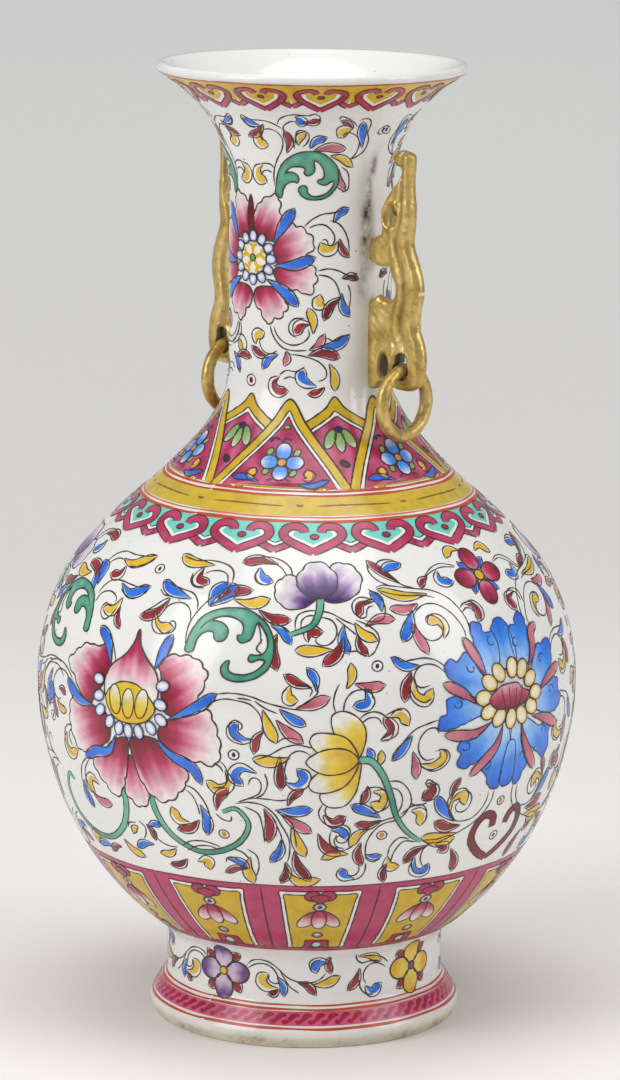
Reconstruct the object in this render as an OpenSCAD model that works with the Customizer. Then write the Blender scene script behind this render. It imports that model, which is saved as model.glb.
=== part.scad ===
// Porcelain bottle vase with two gilt handles and loose rings.
// The vase is thrown in five sections that are luted together with stepped joints.
// The handles are press-moulded and luted to the neck, and a ring hangs in the eye of each.
// Frame: +Z up, origin at the centre of the foot's resting plane, the right handle on +X,
// front of the vase on -Y. Millimetres.

/* [Heights] */
// Overall height of the vase
height = 300; // [300:1:301]
// Top of the flared part of the foot
foot_flare_top = 13.2; // [12.5:0.1:14]
// Joint between the foot and the body
waist_z = 28; // [27.5:0.1:28.5]
// Widest point of the body, where its two halves are luted
belly_z = 109; // [108:0.5:110]
// Joint between the shoulder and the neck
neck_joint_z = 198; // [197:0.5:199]
// Joint between the neck and the flared mouth
mouth_joint_z = 258; // [257:0.5:259]

/* [Radii] */
// Widest radius of the foot
foot_r = 48.9; // [48:0.1:49.5]
// Radius of the waist above the foot
waist_r = 43.4; // [43:0.1:44]
// Widest radius of the body
belly_r = 84.3; // [83:0.1:85]
// Radius of the neck
neck_r = 25.1; // [24.9:0.1:25.3]
// Outer radius of the mouth
rim_r = 48; // [47:0.1:49]

/* [Walls] */
// Wall of the body
body_wall = 3.6; // [3.2:0.1:4]
// Wall of the mouth, which is also the lip's thickness
lip_wall = 2.8; // [2.6:0.1:3]
// Height of the step in each luted joint
lap = 2; // [1.5:0.1:2.5]
// Inner radius of the foot ring
foot_inner_r = 38.5; // [37.5:0.1:39]
// Underside of the base inside the foot ring
base_under_z = 24; // [23:0.5:25]
// Inside floor of the body
floor_z = 31; // [31:0.5:33]

/* [Handles] */
// Thickness of a handle's web
web_t = 4.6; // [4.2:0.1:5]
// Thickness of the roll along a handle's outer edge
spine_t = 5.4; // [5.2:0.1:5.6]
// Width of the roll
spine_w = 4.8; // [4.4:0.1:5]

// Angle by which the left handle is luted off the right one's opposite side
left_skew = 7; // [0:1:9]

/* [Rings] */
// Distance from the vase's axis to the eye that the ring hangs in
eye_x = 38; // [37.8:0.1:38.2]
// Height of the wire's centre where it lies in the eye
eye_z = 208.5; // [208.3:0.1:208.7]
// Radius of the ring to the centre of its wire
ring_r = 10.2; // [10:0.1:10.3]
// Diameter of the ring's wire
ring_wire = 4.15; // [4:0.05:4.2]
// Turn of the right ring about the vertical as it hangs, from square across its handle
ring_right_turn = -2; // [-8:1:8]
// Turn of the left ring about the vertical as it hangs, from square across its handle
ring_left_turn = 10; // [-8:1:11]

/* [Hidden] */
$fn = 96;

porcelain = "whitesmoke";
gilding = "goldenrod";

curve_steps = 24;
section_step = 3;
shoulder_z = 140;
neck_start_z = 206;
lip_angle = 32;
foot_edge = [47.4, 3.2];
foot_bevel = [40.8, 2.5];
left_side = 180 - left_skew;
eye_r = 2.9;
eye_slot = [-0.8, 0, 0.7];
eye_top = [38.5, 211.6];
eye_top_r = 2.3;
pocket_depth = 1.2;

// ---- Curves ----

// Point at t on the cubic Bezier curve with control points p
function bezier(p, t) =
    pow(1 - t, 3) * p[0] + 3 * t * pow(1 - t, 2) * p[1]
    + 3 * t * t * (1 - t) * p[2] + pow(t, 3) * p[3];

function bezier_points(p, n) = [for (i = [0:n]) bezier(p, i / n)];

// Closed curve through the points p, n steps from each to the next (Catmull-Rom)
function loop_points(p, n) = [
    for (i = [0:len(p) - 1], k = [0:n - 1])
        let (t = k / n,
             a = p[(i + len(p) - 1) % len(p)],
             b = p[i],
             c = p[(i + 1) % len(p)],
             d = p[(i + 2) % len(p)])
        0.5 * (2 * b + (c - a) * t + (2 * a - 5 * b + 4 * c - d) * t * t
               + (3 * b - a - 3 * c + d) * t * t * t)
];

// The curve p moved to its left by the distance d, or by d[i] at each point i
function moved_in(p, d) = [
    for (i = [0:len(p) - 1])
        let (a = p[max(i - 1, 0)],
             b = p[min(i + 1, len(p) - 1)],
             along = (b - a) / norm(b - a))
        p[i] + (is_list(d) ? d[i] : d) * [-along[1], along[0]]
];

// ---- Profile of the vase, as [radius, height] from the waist up ----

belly_drop = 94.5;
belly_rise = 73.3;
shoulder_angle = asin((shoulder_z - belly_z) / belly_rise);
waist_angle = asin((belly_z - waist_z) / belly_drop);

lower_curve = [
    for (i = [0:curve_steps])
        let (a = waist_angle * (1 - i / curve_steps))
        [belly_r * cos(a), belly_z - belly_drop * sin(a)]
];
upper_curve = [
    for (i = [1:curve_steps / 2])
        let (a = shoulder_angle * i / (curve_steps / 2))
        [belly_r * cos(a), belly_z + belly_rise * sin(a)]
];
shoulder_end = upper_curve[len(upper_curve) - 1];
shoulder_curve = bezier_points([shoulder_end, shoulder_end + [-12.9, 24],
                                [neck_r, 180], [neck_r, neck_start_z]], curve_steps);
lip_centre = [rim_r - lip_wall / 2, height - lip_wall / 2];
lip_outer = lip_centre + lip_wall / 2 * [sin(lip_angle), -cos(lip_angle)];
mouth_curve = bezier_points([[neck_r, mouth_joint_z], [neck_r, mouth_joint_z + 22],
                             lip_outer - 15 * [cos(lip_angle), sin(lip_angle)], lip_outer],
                            curve_steps);

outer_curve = concat(lower_curve, upper_curve,
                     [for (i = [1:curve_steps]) shoulder_curve[i]], mouth_curve);
wall_at = [
    for (p = outer_curve)
        lookup(p[1], [[belly_z, body_wall], [neck_start_z, 3.2], [mouth_joint_z, 3.2],
                      [height, lip_wall]])
];
inner_curve = moved_in(outer_curve, wall_at);
outer_table = [for (p = outer_curve) [p[1], p[0]]];
inner_table = [for (p = inner_curve) [p[1], p[0]]];

function outer_r(z) = lookup(z, outer_table);
function inner_r(z) = lookup(z, inner_table);
function levels(low, high) =
    let (n = ceil((high - low) / section_step)) [for (i = [0:n]) low + (high - low) * i / n];
function reversed(p) = [for (i = [len(p) - 1:-1:0]) p[i]];
function outer_points(low, high) = [for (z = levels(low, high)) [outer_r(z), z]];
function inner_points(low, high) = [for (z = levels(low, high)) [inner_r(z), z]];

// Middle of the wall at a joint, where its step stands
function step_r(z) = (outer_r(z) + inner_r(z + lap)) / 2;
// Upper edge of a section: flat outer half, and a tongue on the inner half
function joint_top(z) = [[outer_r(z), z], [step_r(z), z], [step_r(z), z + lap]];

// ---- Sections ----

module foot_ring() {
    color(porcelain)
        rotate_extrude()
            polygon([[foot_inner_r, waist_z], [foot_inner_r, foot_bevel[1]],
                     [foot_bevel[0], 0], [foot_edge[0], 0],
                     [foot_r, foot_edge[1]], [foot_r - 0.5, 5.6],
                     [waist_r + 1.8, 10.8], [waist_r, foot_flare_top],
                     [waist_r, waist_z]]);
}

module lower_body() {
    color(porcelain)
        rotate_extrude()
            polygon(concat([[0, base_under_z], [foot_inner_r, base_under_z], [foot_inner_r, waist_z]],
                           outer_points(waist_z, belly_z),
                           joint_top(belly_z),
                           reversed(inner_points(floor_z + 1, belly_z + lap)),
                           [[inner_r(floor_z + 1) - 2, floor_z], [0, floor_z]]));
}

// A section between the joints at low and high
module thrown_section(low, high) {
    rotate_extrude()
        polygon(concat(outer_points(low, high), joint_top(high),
                       reversed(inner_points(low + lap, high + lap)),
                       [[step_r(low), low + lap], [step_r(low), low]]));
}

module upper_body() {
    color(porcelain) thrown_section(belly_z, neck_joint_z);
}

module neck_tube() {
    color(porcelain) thrown_section(neck_joint_z, mouth_joint_z);
}

module flared_mouth() {
    lip = [for (a = [lip_angle - 90:15:lip_angle + 90]) lip_centre + lip_wall / 2 * [cos(a), sin(a)]];
    color(porcelain)
        rotate_extrude()
            polygon(concat(outer_points(mouth_joint_z, lip_outer[1] - 0.5), lip,
                           reversed(inner_points(mouth_joint_z + lap, height - lip_wall)),
                           [[step_r(mouth_joint_z), mouth_joint_z + lap],
                            [step_r(mouth_joint_z), mouth_joint_z]]));
}

// ---- Handles, drawn in the plane of [distance from the axis, height] ----

// Roll along the outer edge, from the top to the foot of the handle
spine_line = [[37.2, 272.5], [37.7, 264], [38.1, 256], [37.2, 246.5], [39, 240],
              [41.3, 233], [40.2, 223.5], [42.5, 212], [41.6, 205.4]];
// Web between the roll and the neck, with the gap over its lower block
web_outline = [[23, 202], [28.2, 201.6], [29.2, 204.4], [32, 204], [36, 202.4], [41, 203],
               [42.5, 212], [40.2, 223.5], [41.3, 233], [39, 240], [37.2, 246.5],
               [38.1, 256], [37.6, 264], [35, 261.8], [31, 259], [30, 255],
               [31.2, 250.5], [27.5, 248.8], [23, 248.5], [23, 241], [27, 239.8],
               [32, 238.4], [33.6, 234.5], [31.5, 231], [27, 230.6], [23, 230]];
// Hollow between the leg against the neck and the eye, sunk in both faces
pocket_outline = [[28.9, 201], [28.6, 208], [29.3, 212], [30.9, 213.8], [32.6, 212],
                  [33.2, 208], [33, 201]];
// Hollow in the lobe near the top, sunk in both faces
lobe_hollow = [34.2, 255.8];
head_curl = [36, 271.6];

// Solid of the neck's outside, which shapes the faces that the handles are luted with
module neck_solid() {
    rotate_extrude()
        polygon(concat([[0, neck_joint_z - 12]], outer_points(neck_joint_z - 12, neck_joint_z),
                       outer_points(neck_joint_z, mouth_joint_z), [[0, mouth_joint_z]]));
}

// Extrudes a figure drawn in the [x, z] plane to the thickness t about that plane
module upright(t) {
    rotate([90, 0, 0]) linear_extrude(t, center = true) children();
}

module spine() {
    n = 2 * len(spine_line);
    line = [for (i = [0:n]) let (k = i / n * (len(spine_line) - 1), j = min(floor(k), len(spine_line) - 2))
            spine_line[j] + (k - j) * (spine_line[j + 1] - spine_line[j])];
    upright(spine_t)
        polygon(concat(moved_in(line, spine_w / 2), reversed(moved_in(line, -spine_w / 2))));
    for (end = [spine_line[0], spine_line[len(spine_line) - 1]])
        translate([end[0], 0, end[1]])
            rotate([90, 0, 0]) cylinder(h = spine_t, d = spine_w, center = true);
}

// Opening that the ring's wire passes through, wider below where the ring hangs
module eye() {
    for (dx = eye_slot)
        translate([eye_x + dx, 0, eye_z])
            rotate([90, 0, 0]) cylinder(h = 2 * spine_t, r = eye_r, center = true);
    translate([eye_top[0], 0, eye_top[1]])
        rotate([90, 0, 0]) cylinder(h = 2 * spine_t, r = eye_top_r, center = true);
}

module handle() {
    difference() {
        union() {
            upright(web_t) polygon(loop_points(web_outline, 3));
            spine();
            translate([head_curl[0], 0, head_curl[1]])
                rotate([90, 0, 0]) cylinder(h = web_t, r = 2.4, center = true);
        }
        neck_solid();
        eye();
        for (side = [-1, 1])
            translate([0, side * web_t / 2, 0])
                upright(2 * pocket_depth) {
                    polygon(loop_points(pocket_outline, 3));
                    translate(lobe_hollow) circle(r = 2);
                }
    }
}

module handle_right() {
    color(gilding) handle();
}

module handle_left() {
    color(gilding) rotate([0, 0, left_side]) handle();
}

// ---- Rings, each hanging from the eye of its handle ----

// A ring that hangs in the right eye, turned about the vertical
module hanging_ring(turn) {
    translate([eye_x, 0, eye_z - ring_r])
        rotate([0, 0, turn])
            rotate([0, 90, 0])
                rotate_extrude()
                    translate([ring_r, 0]) circle(d = ring_wire);
}

module ring_right() {
    color(gilding) hanging_ring(ring_right_turn);
}

module ring_left() {
    color(gilding) rotate([0, 0, left_side]) hanging_ring(ring_left_turn);
}

foot_ring();
lower_body();
upper_body();
neck_tube();
flared_mouth();
handle_right();
handle_left();
ring_right();
ring_left();
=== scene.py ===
"""A famille-rose porcelain bottle vase with gilt handles and loose rings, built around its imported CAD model.

The glaze is revolved from the CAD walls. The painting is thin raised enamel: each shape is drawn in
millimetres on the vase's skin, u to the right round the vase and v up along its wall, and laid on the
skin by Spot.
"""

import math

import bpy
import numpy as np
from mathutils import Matrix, Vector, geometry


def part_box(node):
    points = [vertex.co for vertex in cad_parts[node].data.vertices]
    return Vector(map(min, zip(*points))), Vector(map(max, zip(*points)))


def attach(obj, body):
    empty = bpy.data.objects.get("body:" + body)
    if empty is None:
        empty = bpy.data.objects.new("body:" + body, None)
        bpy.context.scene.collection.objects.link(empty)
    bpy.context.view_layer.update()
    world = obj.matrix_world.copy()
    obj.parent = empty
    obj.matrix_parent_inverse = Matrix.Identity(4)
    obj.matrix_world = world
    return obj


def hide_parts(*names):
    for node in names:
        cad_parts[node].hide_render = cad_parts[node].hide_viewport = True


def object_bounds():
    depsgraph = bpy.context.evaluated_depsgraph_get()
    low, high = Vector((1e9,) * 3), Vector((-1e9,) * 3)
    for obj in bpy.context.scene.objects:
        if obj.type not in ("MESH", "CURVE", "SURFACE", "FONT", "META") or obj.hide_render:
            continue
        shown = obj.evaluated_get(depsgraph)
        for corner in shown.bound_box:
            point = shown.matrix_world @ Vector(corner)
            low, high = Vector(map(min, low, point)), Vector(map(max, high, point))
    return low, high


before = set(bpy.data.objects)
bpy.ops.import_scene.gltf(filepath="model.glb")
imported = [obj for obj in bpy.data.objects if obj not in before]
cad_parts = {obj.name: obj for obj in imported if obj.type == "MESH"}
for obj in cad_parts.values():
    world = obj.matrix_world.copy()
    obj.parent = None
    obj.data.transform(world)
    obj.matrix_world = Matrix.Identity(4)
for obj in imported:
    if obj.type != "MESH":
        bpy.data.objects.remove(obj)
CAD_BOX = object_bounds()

MM = 0.001
VASE = "vase"
SECTIONS = ["foot_ring", "lower_body", "upper_body", "neck_tube", "flared_mouth"]


# ---------------------------------------------------------------- curves

def spline(points, step, closed=False):
    """Points about `step` apart on the smooth curve through `points` (centripetal Catmull-Rom)."""
    p = np.asarray(points, float)
    if len(p) == 2 and not closed:
        n = max(2, int(np.linalg.norm(p[1] - p[0]) / step) + 1)
        return p[0] + np.linspace(0, 1, n)[:, None] * (p[1] - p[0])
    if closed:
        p = np.vstack([p[-1], p, p[0], p[1]])
    else:
        p = np.vstack([2 * p[0] - p[1], p, 2 * p[-1] - p[-2]])
    out = []
    for a, b, c, d in zip(p[:-3], p[1:-2], p[2:-1], p[3:]):
        k = [max(np.linalg.norm(y - x), 1e-6) ** 0.5 for x, y in ((a, b), (b, c), (c, d))]
        m1 = (b - a) / k[0] - (c - a) / (k[0] + k[1]) + (c - b) / k[1]
        m2 = (c - b) / k[1] - (d - b) / (k[1] + k[2]) + (d - c) / k[2]
        m1, m2 = m1 * k[1], m2 * k[1]
        n = max(1, int(np.ceil(np.linalg.norm(c - b) / step)))
        t = (np.arange(n) / n)[:, None]
        out.append((2 * t**3 - 3 * t**2 + 1) * b + (t**3 - 2 * t**2 + t) * m1
                   + (3 * t**2 - 2 * t**3) * c + (t**3 - t**2) * m2)
    if not closed:
        out.append(p[-2:-1])
    return np.vstack(out)


def natural_spline(x, y, at):
    """Values at `at` of the twice-smooth cubic through the points (x, y)."""
    h = np.diff(x)
    n = len(x)
    a = np.eye(n)
    b = np.zeros(n)
    for i in range(1, n - 1):
        a[i, i - 1:i + 2] = h[i - 1], 2 * (h[i - 1] + h[i]), h[i]
        b[i] = 6 * ((y[i + 1] - y[i]) / h[i] - (y[i] - y[i - 1]) / h[i - 1])
    m = np.linalg.solve(a, b)
    i = np.clip(np.searchsorted(x, at) - 1, 0, n - 2)
    t, left = at - x[i], x[i + 1] - at
    return ((m[i] * left**3 + m[i + 1] * t**3) / (6 * h[i]) + (y[i] / h[i] - m[i] * h[i] / 6) * left
            + (y[i + 1] / h[i] - m[i + 1] * h[i] / 6) * t)


def smooth_curve(rows, step=0.25):
    """Dense points on the smooth curve through `rows`."""
    length = np.concatenate([[0], np.cumsum(np.linalg.norm(np.diff(rows, axis=0), axis=1))])
    at = np.linspace(0, length[-1], int(length[-1] / step) + 2)
    return np.column_stack([natural_spline(length, rows[:, k], at) for k in (0, 1)])


def side_of(line):
    """Unit vectors to the left of a line of points."""
    along = np.gradient(line, axis=0)
    along /= np.maximum(np.linalg.norm(along, axis=1), 1e-9)[:, None]
    return np.column_stack([-along[:, 1], along[:, 0]])


def ease(x):
    """A smooth step from 0 to 1."""
    x = np.clip(x, 0, 1)
    return x * x * (3 - 2 * x)


# ---------------------------------------------------------------- the vase's skin, read from the CAD walls

STARTS = [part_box(n)[0].z / MM for n in SECTIONS] + [CAD_BOX[1].z / MM]
STARTS[1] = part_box("foot_ring")[1].z / MM
WAIST = STARTS[1]
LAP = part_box("lower_body")[1].z / MM - STARTS[2]


def wall_rings(node, facing):
    """{height: radius} of the node's rings of corners on faces that look outward (1) or inward (-1), in mm."""
    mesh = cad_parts[node].data
    rings = {}
    for face in mesh.polygons:
        c = face.center
        outward = (face.normal.x * c.x + face.normal.y * c.y) / max(math.hypot(c.x, c.y), 1e-9)
        if outward * facing < 0.25:
            continue
        for i in face.vertices:
            p = mesh.vertices[i].co / MM
            z, r = round(p.z, 1), math.hypot(p.x, p.y)
            rings[z] = max(r, rings.get(z, 0)) if facing > 0 else min(r, rings.get(z, 1e9))
    return rings


def wall(facing, first=0):
    """Rows of [radius, height] up the outer or inner wall of the sections from `first`, in mm."""
    rows = {}
    for i in range(first, len(SECTIONS)):
        shift = 0 if facing > 0 else LAP
        low = STARTS[i] + (0 if facing > 0 else 0.5)
        for z, r in wall_rings(SECTIONS[i], facing).items():
            if low - 0.06 <= z <= STARTS[i + 1] + shift + 0.06:
                rows[z] = max(r, rows.get(z, 0)) if facing > 0 else min(r, rows.get(z, 1e9))
    rows = np.array([[r, z] for z, r in sorted(rows.items())])
    keep = [0]
    for i in range(1, len(rows)):
        if np.linalg.norm(rows[i] - rows[keep[-1]]) > 0.25:
            keep.append(i)
    return rows[keep]


def outer_skin():
    """Dense [radius, height] rows from the foot's edge to the lip, with a small fillet at the waist."""
    rows = wall(1)
    foot, body = rows[rows[:, 1] <= WAIST - 1.5], rows[rows[:, 1] >= WAIST + 2]
    shaft = np.array([[foot[-1][0], z] for z in np.arange(foot[-1][1] + 3, WAIST - 1.5, 3)])
    foot, body = smooth_curve(np.vstack([foot, shaft])), smooth_curve(body)
    corner = np.array([foot[-1][0], WAIST + 0.3])
    t = np.linspace(0, 1, 24)[1:-1, None]
    fillet = (1 - t)**2 * foot[-1] + 2 * t * (1 - t) * corner + t * t * body[0]
    return np.vstack([foot, fillet, body])


SKIN = outer_skin()
ALONG = np.concatenate([[0], np.cumsum(np.linalg.norm(np.diff(SKIN, axis=0), axis=1))])
ALONG -= np.interp(WAIST, SKIN[:, 1], ALONG)
_slope = np.gradient(SKIN, axis=0)
_slope /= np.linalg.norm(_slope, axis=1)[:, None]
NORMAL = np.column_stack([_slope[:, 1], -_slope[:, 0]])


def skin_at(s, lift=0.0):
    """(radius, height) of the skin at the length s up the wall from the waist, raised by `lift`, in mm."""
    r, z = (np.interp(s, ALONG, SKIN[:, k]) for k in (0, 1))
    nr, nz = (np.interp(s, ALONG, NORMAL[:, k]) for k in (0, 1))
    return r + lift * nr, z + lift * nz


class Spot:
    """A place on the skin to draw around: degrees from the front towards the right handle, mm up the wall."""

    def __init__(self, angle, up, turn=0, size=1, flip=1):
        self.angle, self.up, self.size, self.flip = math.radians(angle), up, size, flip
        self.turn = math.radians(turn)

    def on_skin(self, uv):
        """Angle round and length up the wall of points drawn in mm around this spot."""
        uv = np.atleast_2d(np.asarray(uv, float)) * self.size
        c, s = math.cos(self.turn), math.sin(self.turn)
        u, v = c * uv[:, 0] - s * uv[:, 1], s * uv[:, 0] + c * uv[:, 1]
        up = self.up + v
        return self.angle + self.flip * u / skin_at(up)[0], up

    def points(self, uv, lift):
        """Points in space, in metres."""
        angle, up = self.on_skin(uv)
        r, z = skin_at(up, lift)
        return np.column_stack([r * np.sin(angle), -r * np.cos(angle), z]) * MM


# ---------------------------------------------------------------- meshes

def add_mesh(name, points, faces, material, smooth=True, body=VASE):
    """A new mesh piece that rides `body`."""
    mesh = bpy.data.meshes.new(name)
    mesh.from_pydata([tuple(p) for p in points], [], [tuple(f) for f in faces])
    mesh.validate()
    if smooth:
        mesh.shade_smooth()
    mesh.materials.append(material)
    piece = bpy.data.objects.new(name, mesh)
    bpy.context.scene.collection.objects.link(piece)
    if body:
        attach(piece, body)
    return piece


def paint(piece, name, values):
    """Stores one colour or number for each corner point of the piece's mesh."""
    values = np.asarray(values, float)
    if values.ndim == 1:
        piece.data.attributes.new(name, "FLOAT", "POINT").data.foreach_set("value", values)
    else:
        full = np.column_stack([values, np.ones(len(values))])
        piece.data.attributes.new(name, "FLOAT_COLOR", "POINT").data.foreach_set("color", full.ravel())


def revolve(name, profile, normals, material, around=288):
    """A closed ring of the section `profile`, [radius, height] rows in mm, shaded with the given normals."""
    n = len(profile)
    angle = np.arange(around) * 2 * np.pi / around
    points = np.array([[r * math.sin(a), -r * math.cos(a), z] for a in angle for r, z in profile]) * MM
    faces = [(i * n + k, ((i + 1) % around) * n + k, ((i + 1) % around) * n + (k + 1) % n,
              i * n + (k + 1) % n)
             for i in range(around) for k in range(n)]
    piece = add_mesh(name, points, faces, material)
    mesh = piece.data
    flat = {k for k in range(n) if normals[k] is None or normals[(k + 1) % n] is None}
    split = []
    for f, face in enumerate(mesh.polygons):
        k = f % n
        for v in face.vertices:
            own = normals[v % n]
            if k in flat or own is None:
                split.append(face.normal[:])
            else:
                a = angle[v // n]
                split.append((own[0] * math.sin(a), -own[0] * math.cos(a), own[1]))
    mesh.normals_split_custom_set(split)
    return piece


# ---------------------------------------------------------------- colours and materials

def rgb(r, g, b):
    """Linear colour from 8-bit sRGB values."""
    c = np.array([r, g, b]) / 255
    return np.where(c < 0.04045, c / 12.92, ((c + 0.055) / 1.055) ** 2.4)


WHITE = rgb(232, 229, 224)
CRIMSON = rgb(112, 14, 30)
ROSE = rgb(184, 52, 92)
BLUSH = rgb(230, 176, 190)
MAGENTA = rgb(172, 40, 82)
ORCHID = rgb(192, 84, 134)
IRON_RED = rgb(124, 16, 28)
YELLOW = rgb(222, 178, 30)
LEMON = rgb(216, 190, 50)
BLUE = rgb(58, 140, 238)
DEEP_BLUE = rgb(36, 96, 214)
SKY = rgb(142, 190, 245)
GREEN = rgb(58, 142, 118)
PALE_GREEN = rgb(112, 182, 158)
LEAF_GREEN = rgb(112, 160, 84)
PURPLE = rgb(72, 34, 100)
LILAC = rgb(182, 152, 200)
TURQUOISE = rgb(118, 206, 192)
ORANGE = rgb(196, 74, 36)
INK = rgb(60, 46, 36)


def new_material(name):
    material = bpy.data.materials.new(name)
    material.use_nodes = True
    nodes, links = material.node_tree.nodes, material.node_tree.links
    return material, nodes, links, nodes["Principled BSDF"]


def noise_node(nodes, links, scale, detail=3.0, roughness=0.5, stretch=None):
    """A noise texture in the piece's own metres; stretch squeezes it along X, Y and Z."""
    where = nodes.new("ShaderNodeTexCoord")
    texture = nodes.new("ShaderNodeTexNoise")
    texture.inputs["Scale"].default_value = scale
    texture.inputs["Detail"].default_value = detail
    texture.inputs["Roughness"].default_value = roughness
    out = where.outputs["Object"]
    if stretch:
        mapping = nodes.new("ShaderNodeMapping")
        mapping.inputs["Scale"].default_value = stretch
        links.new(out, mapping.inputs["Vector"])
        out = mapping.outputs["Vector"]
    links.new(out, texture.inputs["Vector"])
    return texture.outputs["Fac"]


def ramp_node(nodes, links, value, stops):
    ramp = nodes.new("ShaderNodeValToRGB")
    elements = ramp.color_ramp.elements
    while len(elements) < len(stops):
        elements.new(0.5)
    for element, (place, colour) in zip(elements, stops):
        element.position = place
        element.color = (*colour, 1) if len(colour) == 3 else colour
    links.new(value, ramp.inputs["Fac"])
    return ramp.outputs["Color"]


def grey(x):
    return (x, x, x)


def mix_node(nodes, links, a, b, factor, blend="MIX"):
    """a mixed with b; each of a, b and factor is a socket or a constant."""
    mix = nodes.new("ShaderNodeMix")
    mix.data_type = "RGBA"
    mix.blend_type = blend
    for socket, value in ((mix.inputs[6], a), (mix.inputs[7], b), (mix.inputs[0], factor)):
        if isinstance(value, bpy.types.NodeSocket):
            links.new(value, socket)
        elif socket is mix.inputs[0] or isinstance(value, float):
            socket.default_value = value
        else:
            socket.default_value = (*value, 1)
    return mix.outputs[2]


def bump_node(nodes, links, height, strength, distance, bsdf):
    bump = nodes.new("ShaderNodeBump")
    bump.inputs["Strength"].default_value = strength
    bump.inputs["Distance"].default_value = distance
    links.new(height, bump.inputs["Height"])
    links.new(bump.outputs["Normal"], bsdf.inputs["Normal"])


def glaze_material():
    """Clear glaze over white porcelain: faint tone drift, a few pin-holes and iron specks, soft ripple."""
    material, nodes, links, bsdf = new_material("white_glaze")
    drift = noise_node(nodes, links, 14, 2)
    tone = ramp_node(nodes, links, drift, [(0.3, rgb(222, 222, 218)), (0.7, rgb(231, 230, 226))])
    specks = noise_node(nodes, links, 620, 1)
    speck = ramp_node(nodes, links, specks, [(0.775, grey(0)), (0.80, grey(1))])
    clean = mix_node(nodes, links, tone, rgb(150, 132, 108), speck)
    soot = nodes.new("ShaderNodeAttribute")
    soot.attribute_name = "soot"
    wisps = ramp_node(nodes, links, noise_node(nodes, links, 180, 4, 0.6), [(0.38, grey(0)), (0.66, grey(1))])
    smoke = mix_node(nodes, links, soot.outputs["Color"], wisps, 1.0, "MULTIPLY")
    links.new(mix_node(nodes, links, clean, rgb(84, 54, 26), smoke), bsdf.inputs["Base Color"])
    bsdf.inputs["Roughness"].default_value = 0.12
    bsdf.inputs["IOR"].default_value = 1.5
    bump_node(nodes, links, noise_node(nodes, links, 90, 2), 0.12, 0.0006, bsdf)
    return material


GLAZE = glaze_material()


# ---------------------------------------------------------------- porcelain sections

def rows_between(rows, low, high):
    """The part of the rows between two heights, cut exactly there."""
    inside = rows[(rows[:, 1] > low + 1e-6) & (rows[:, 1] < high - 1e-6)]
    ends = [np.array([[np.interp(z, rows[:, 1], rows[:, 0]), z]]) for z in (low, high)]
    return np.vstack([ends[0], inside, ends[1]])


def normals_of(rows, facing):
    along = np.gradient(rows, axis=0)
    along /= np.linalg.norm(along, axis=1)[:, None]
    return np.column_stack([along[:, 1], -along[:, 0]]) * facing


def thin_out(rows, normals, gap):
    """Every point that is at least `gap` from the last one kept, and both ends."""
    keep = [0]
    for i in range(1, len(rows) - 1):
        if np.linalg.norm(rows[i] - rows[keep[-1]]) >= gap and np.linalg.norm(rows[i] - rows[-1]) > gap / 2:
            keep.append(i)
    keep.append(len(rows) - 1)
    return rows[keep], normals[keep]


def soot_at(points):
    """Kiln smoke on the outer glaze above and between the feet of the two handles."""
    round_at = np.degrees(np.arctan2(points[:, 0], -points[:, 1]))
    dark = np.zeros(len(points))
    for middle, up, tall, wide, much in ((86, 269, 7, 3, 0.9), (84, 258, 7, 3.6, 1), (81.5, 249, 7, 4.6, 1.3),
                                         (80, 234, 6, 6, 0.7), (-88, 254, 10, 4, 0.7)):
        off = (round_at - middle + 180) % 360 - 180
        dark += much * np.exp(-((points[:, 2] - up) / tall) ** 2 - (off / wide) ** 2)
    outside = np.hypot(points[:, 0], points[:, 1]) > 24.4
    return np.repeat((np.clip(dark, 0, 1) * outside)[:, None], 3, axis=1)


def porcelain_sections():
    inner_rows = wall(-1, first=1)
    inner = smooth_curve(inner_rows[inner_rows[:, 1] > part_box("lower_body")[0].z / MM + 6])
    outer_normals, inner_normals = normals_of(SKIN, 1), normals_of(inner, -1)

    def wall_part(rows, normals, low, high, gap):
        cut = rows_between(rows, low, high)
        near = [int(np.argmin(np.linalg.norm(rows - p, axis=1))) for p in cut]
        return thin_out(cut, normals[near], gap)

    for i, node in enumerate(SECTIONS[1:], 1):
        low, high = STARTS[i], STARTS[i + 1]
        top = i == len(SECTIONS) - 1
        outer, outer_n = wall_part(SKIN, outer_normals, low, SKIN[-1][1] if top else high, 1.4)
        start = inner[0][1] if i == 1 else low
        inside, inside_n = wall_part(inner, inner_normals, start, inner[-1][1] if top else high, 2.2)
        profile, normals = list(outer), list(outer_n)
        profile += list(inside[::-1])
        normals += list(inside_n[::-1])
        if i == 1:
            floor, under = inside[0][1] - 1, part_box(node)[0].z / MM
            inner_foot = min(wall_rings("foot_ring", -1).values())
            profile += [(inside[0][0] - 2, floor), (0.4, floor), (0.4, under), (inner_foot, under),
                        (inner_foot, low)]
            normals += [None] * 5
        piece = revolve(node + "_glazed", profile, normals, GLAZE)
        paint(piece, "soot", soot_at(np.array([v.co[:] for v in piece.data.vertices]) / MM))
        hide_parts(node)
    return None


def foot_section():
    inner_foot = min(wall_rings("foot_ring", -1).values())
    outer = rows_between(SKIN, SKIN[0][1], WAIST)
    normals = normals_of(outer, 1)
    outer, normals = thin_out(outer, normals, 0.9)
    edge = np.array([[outer[0][0] - 0.5, 0.0], [inner_foot + 2.6, 0.0], [inner_foot + 0.8, 0.9],
                     [inner_foot, 2.6]])
    profile = list(edge[::-1]) + list(outer) + [(inner_foot, WAIST)]
    shading = [None] * len(edge) + list(normals) + [None]
    piece = revolve("foot_ring_glazed", profile, shading, FOOT_GLAZE)
    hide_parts("foot_ring")


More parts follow.
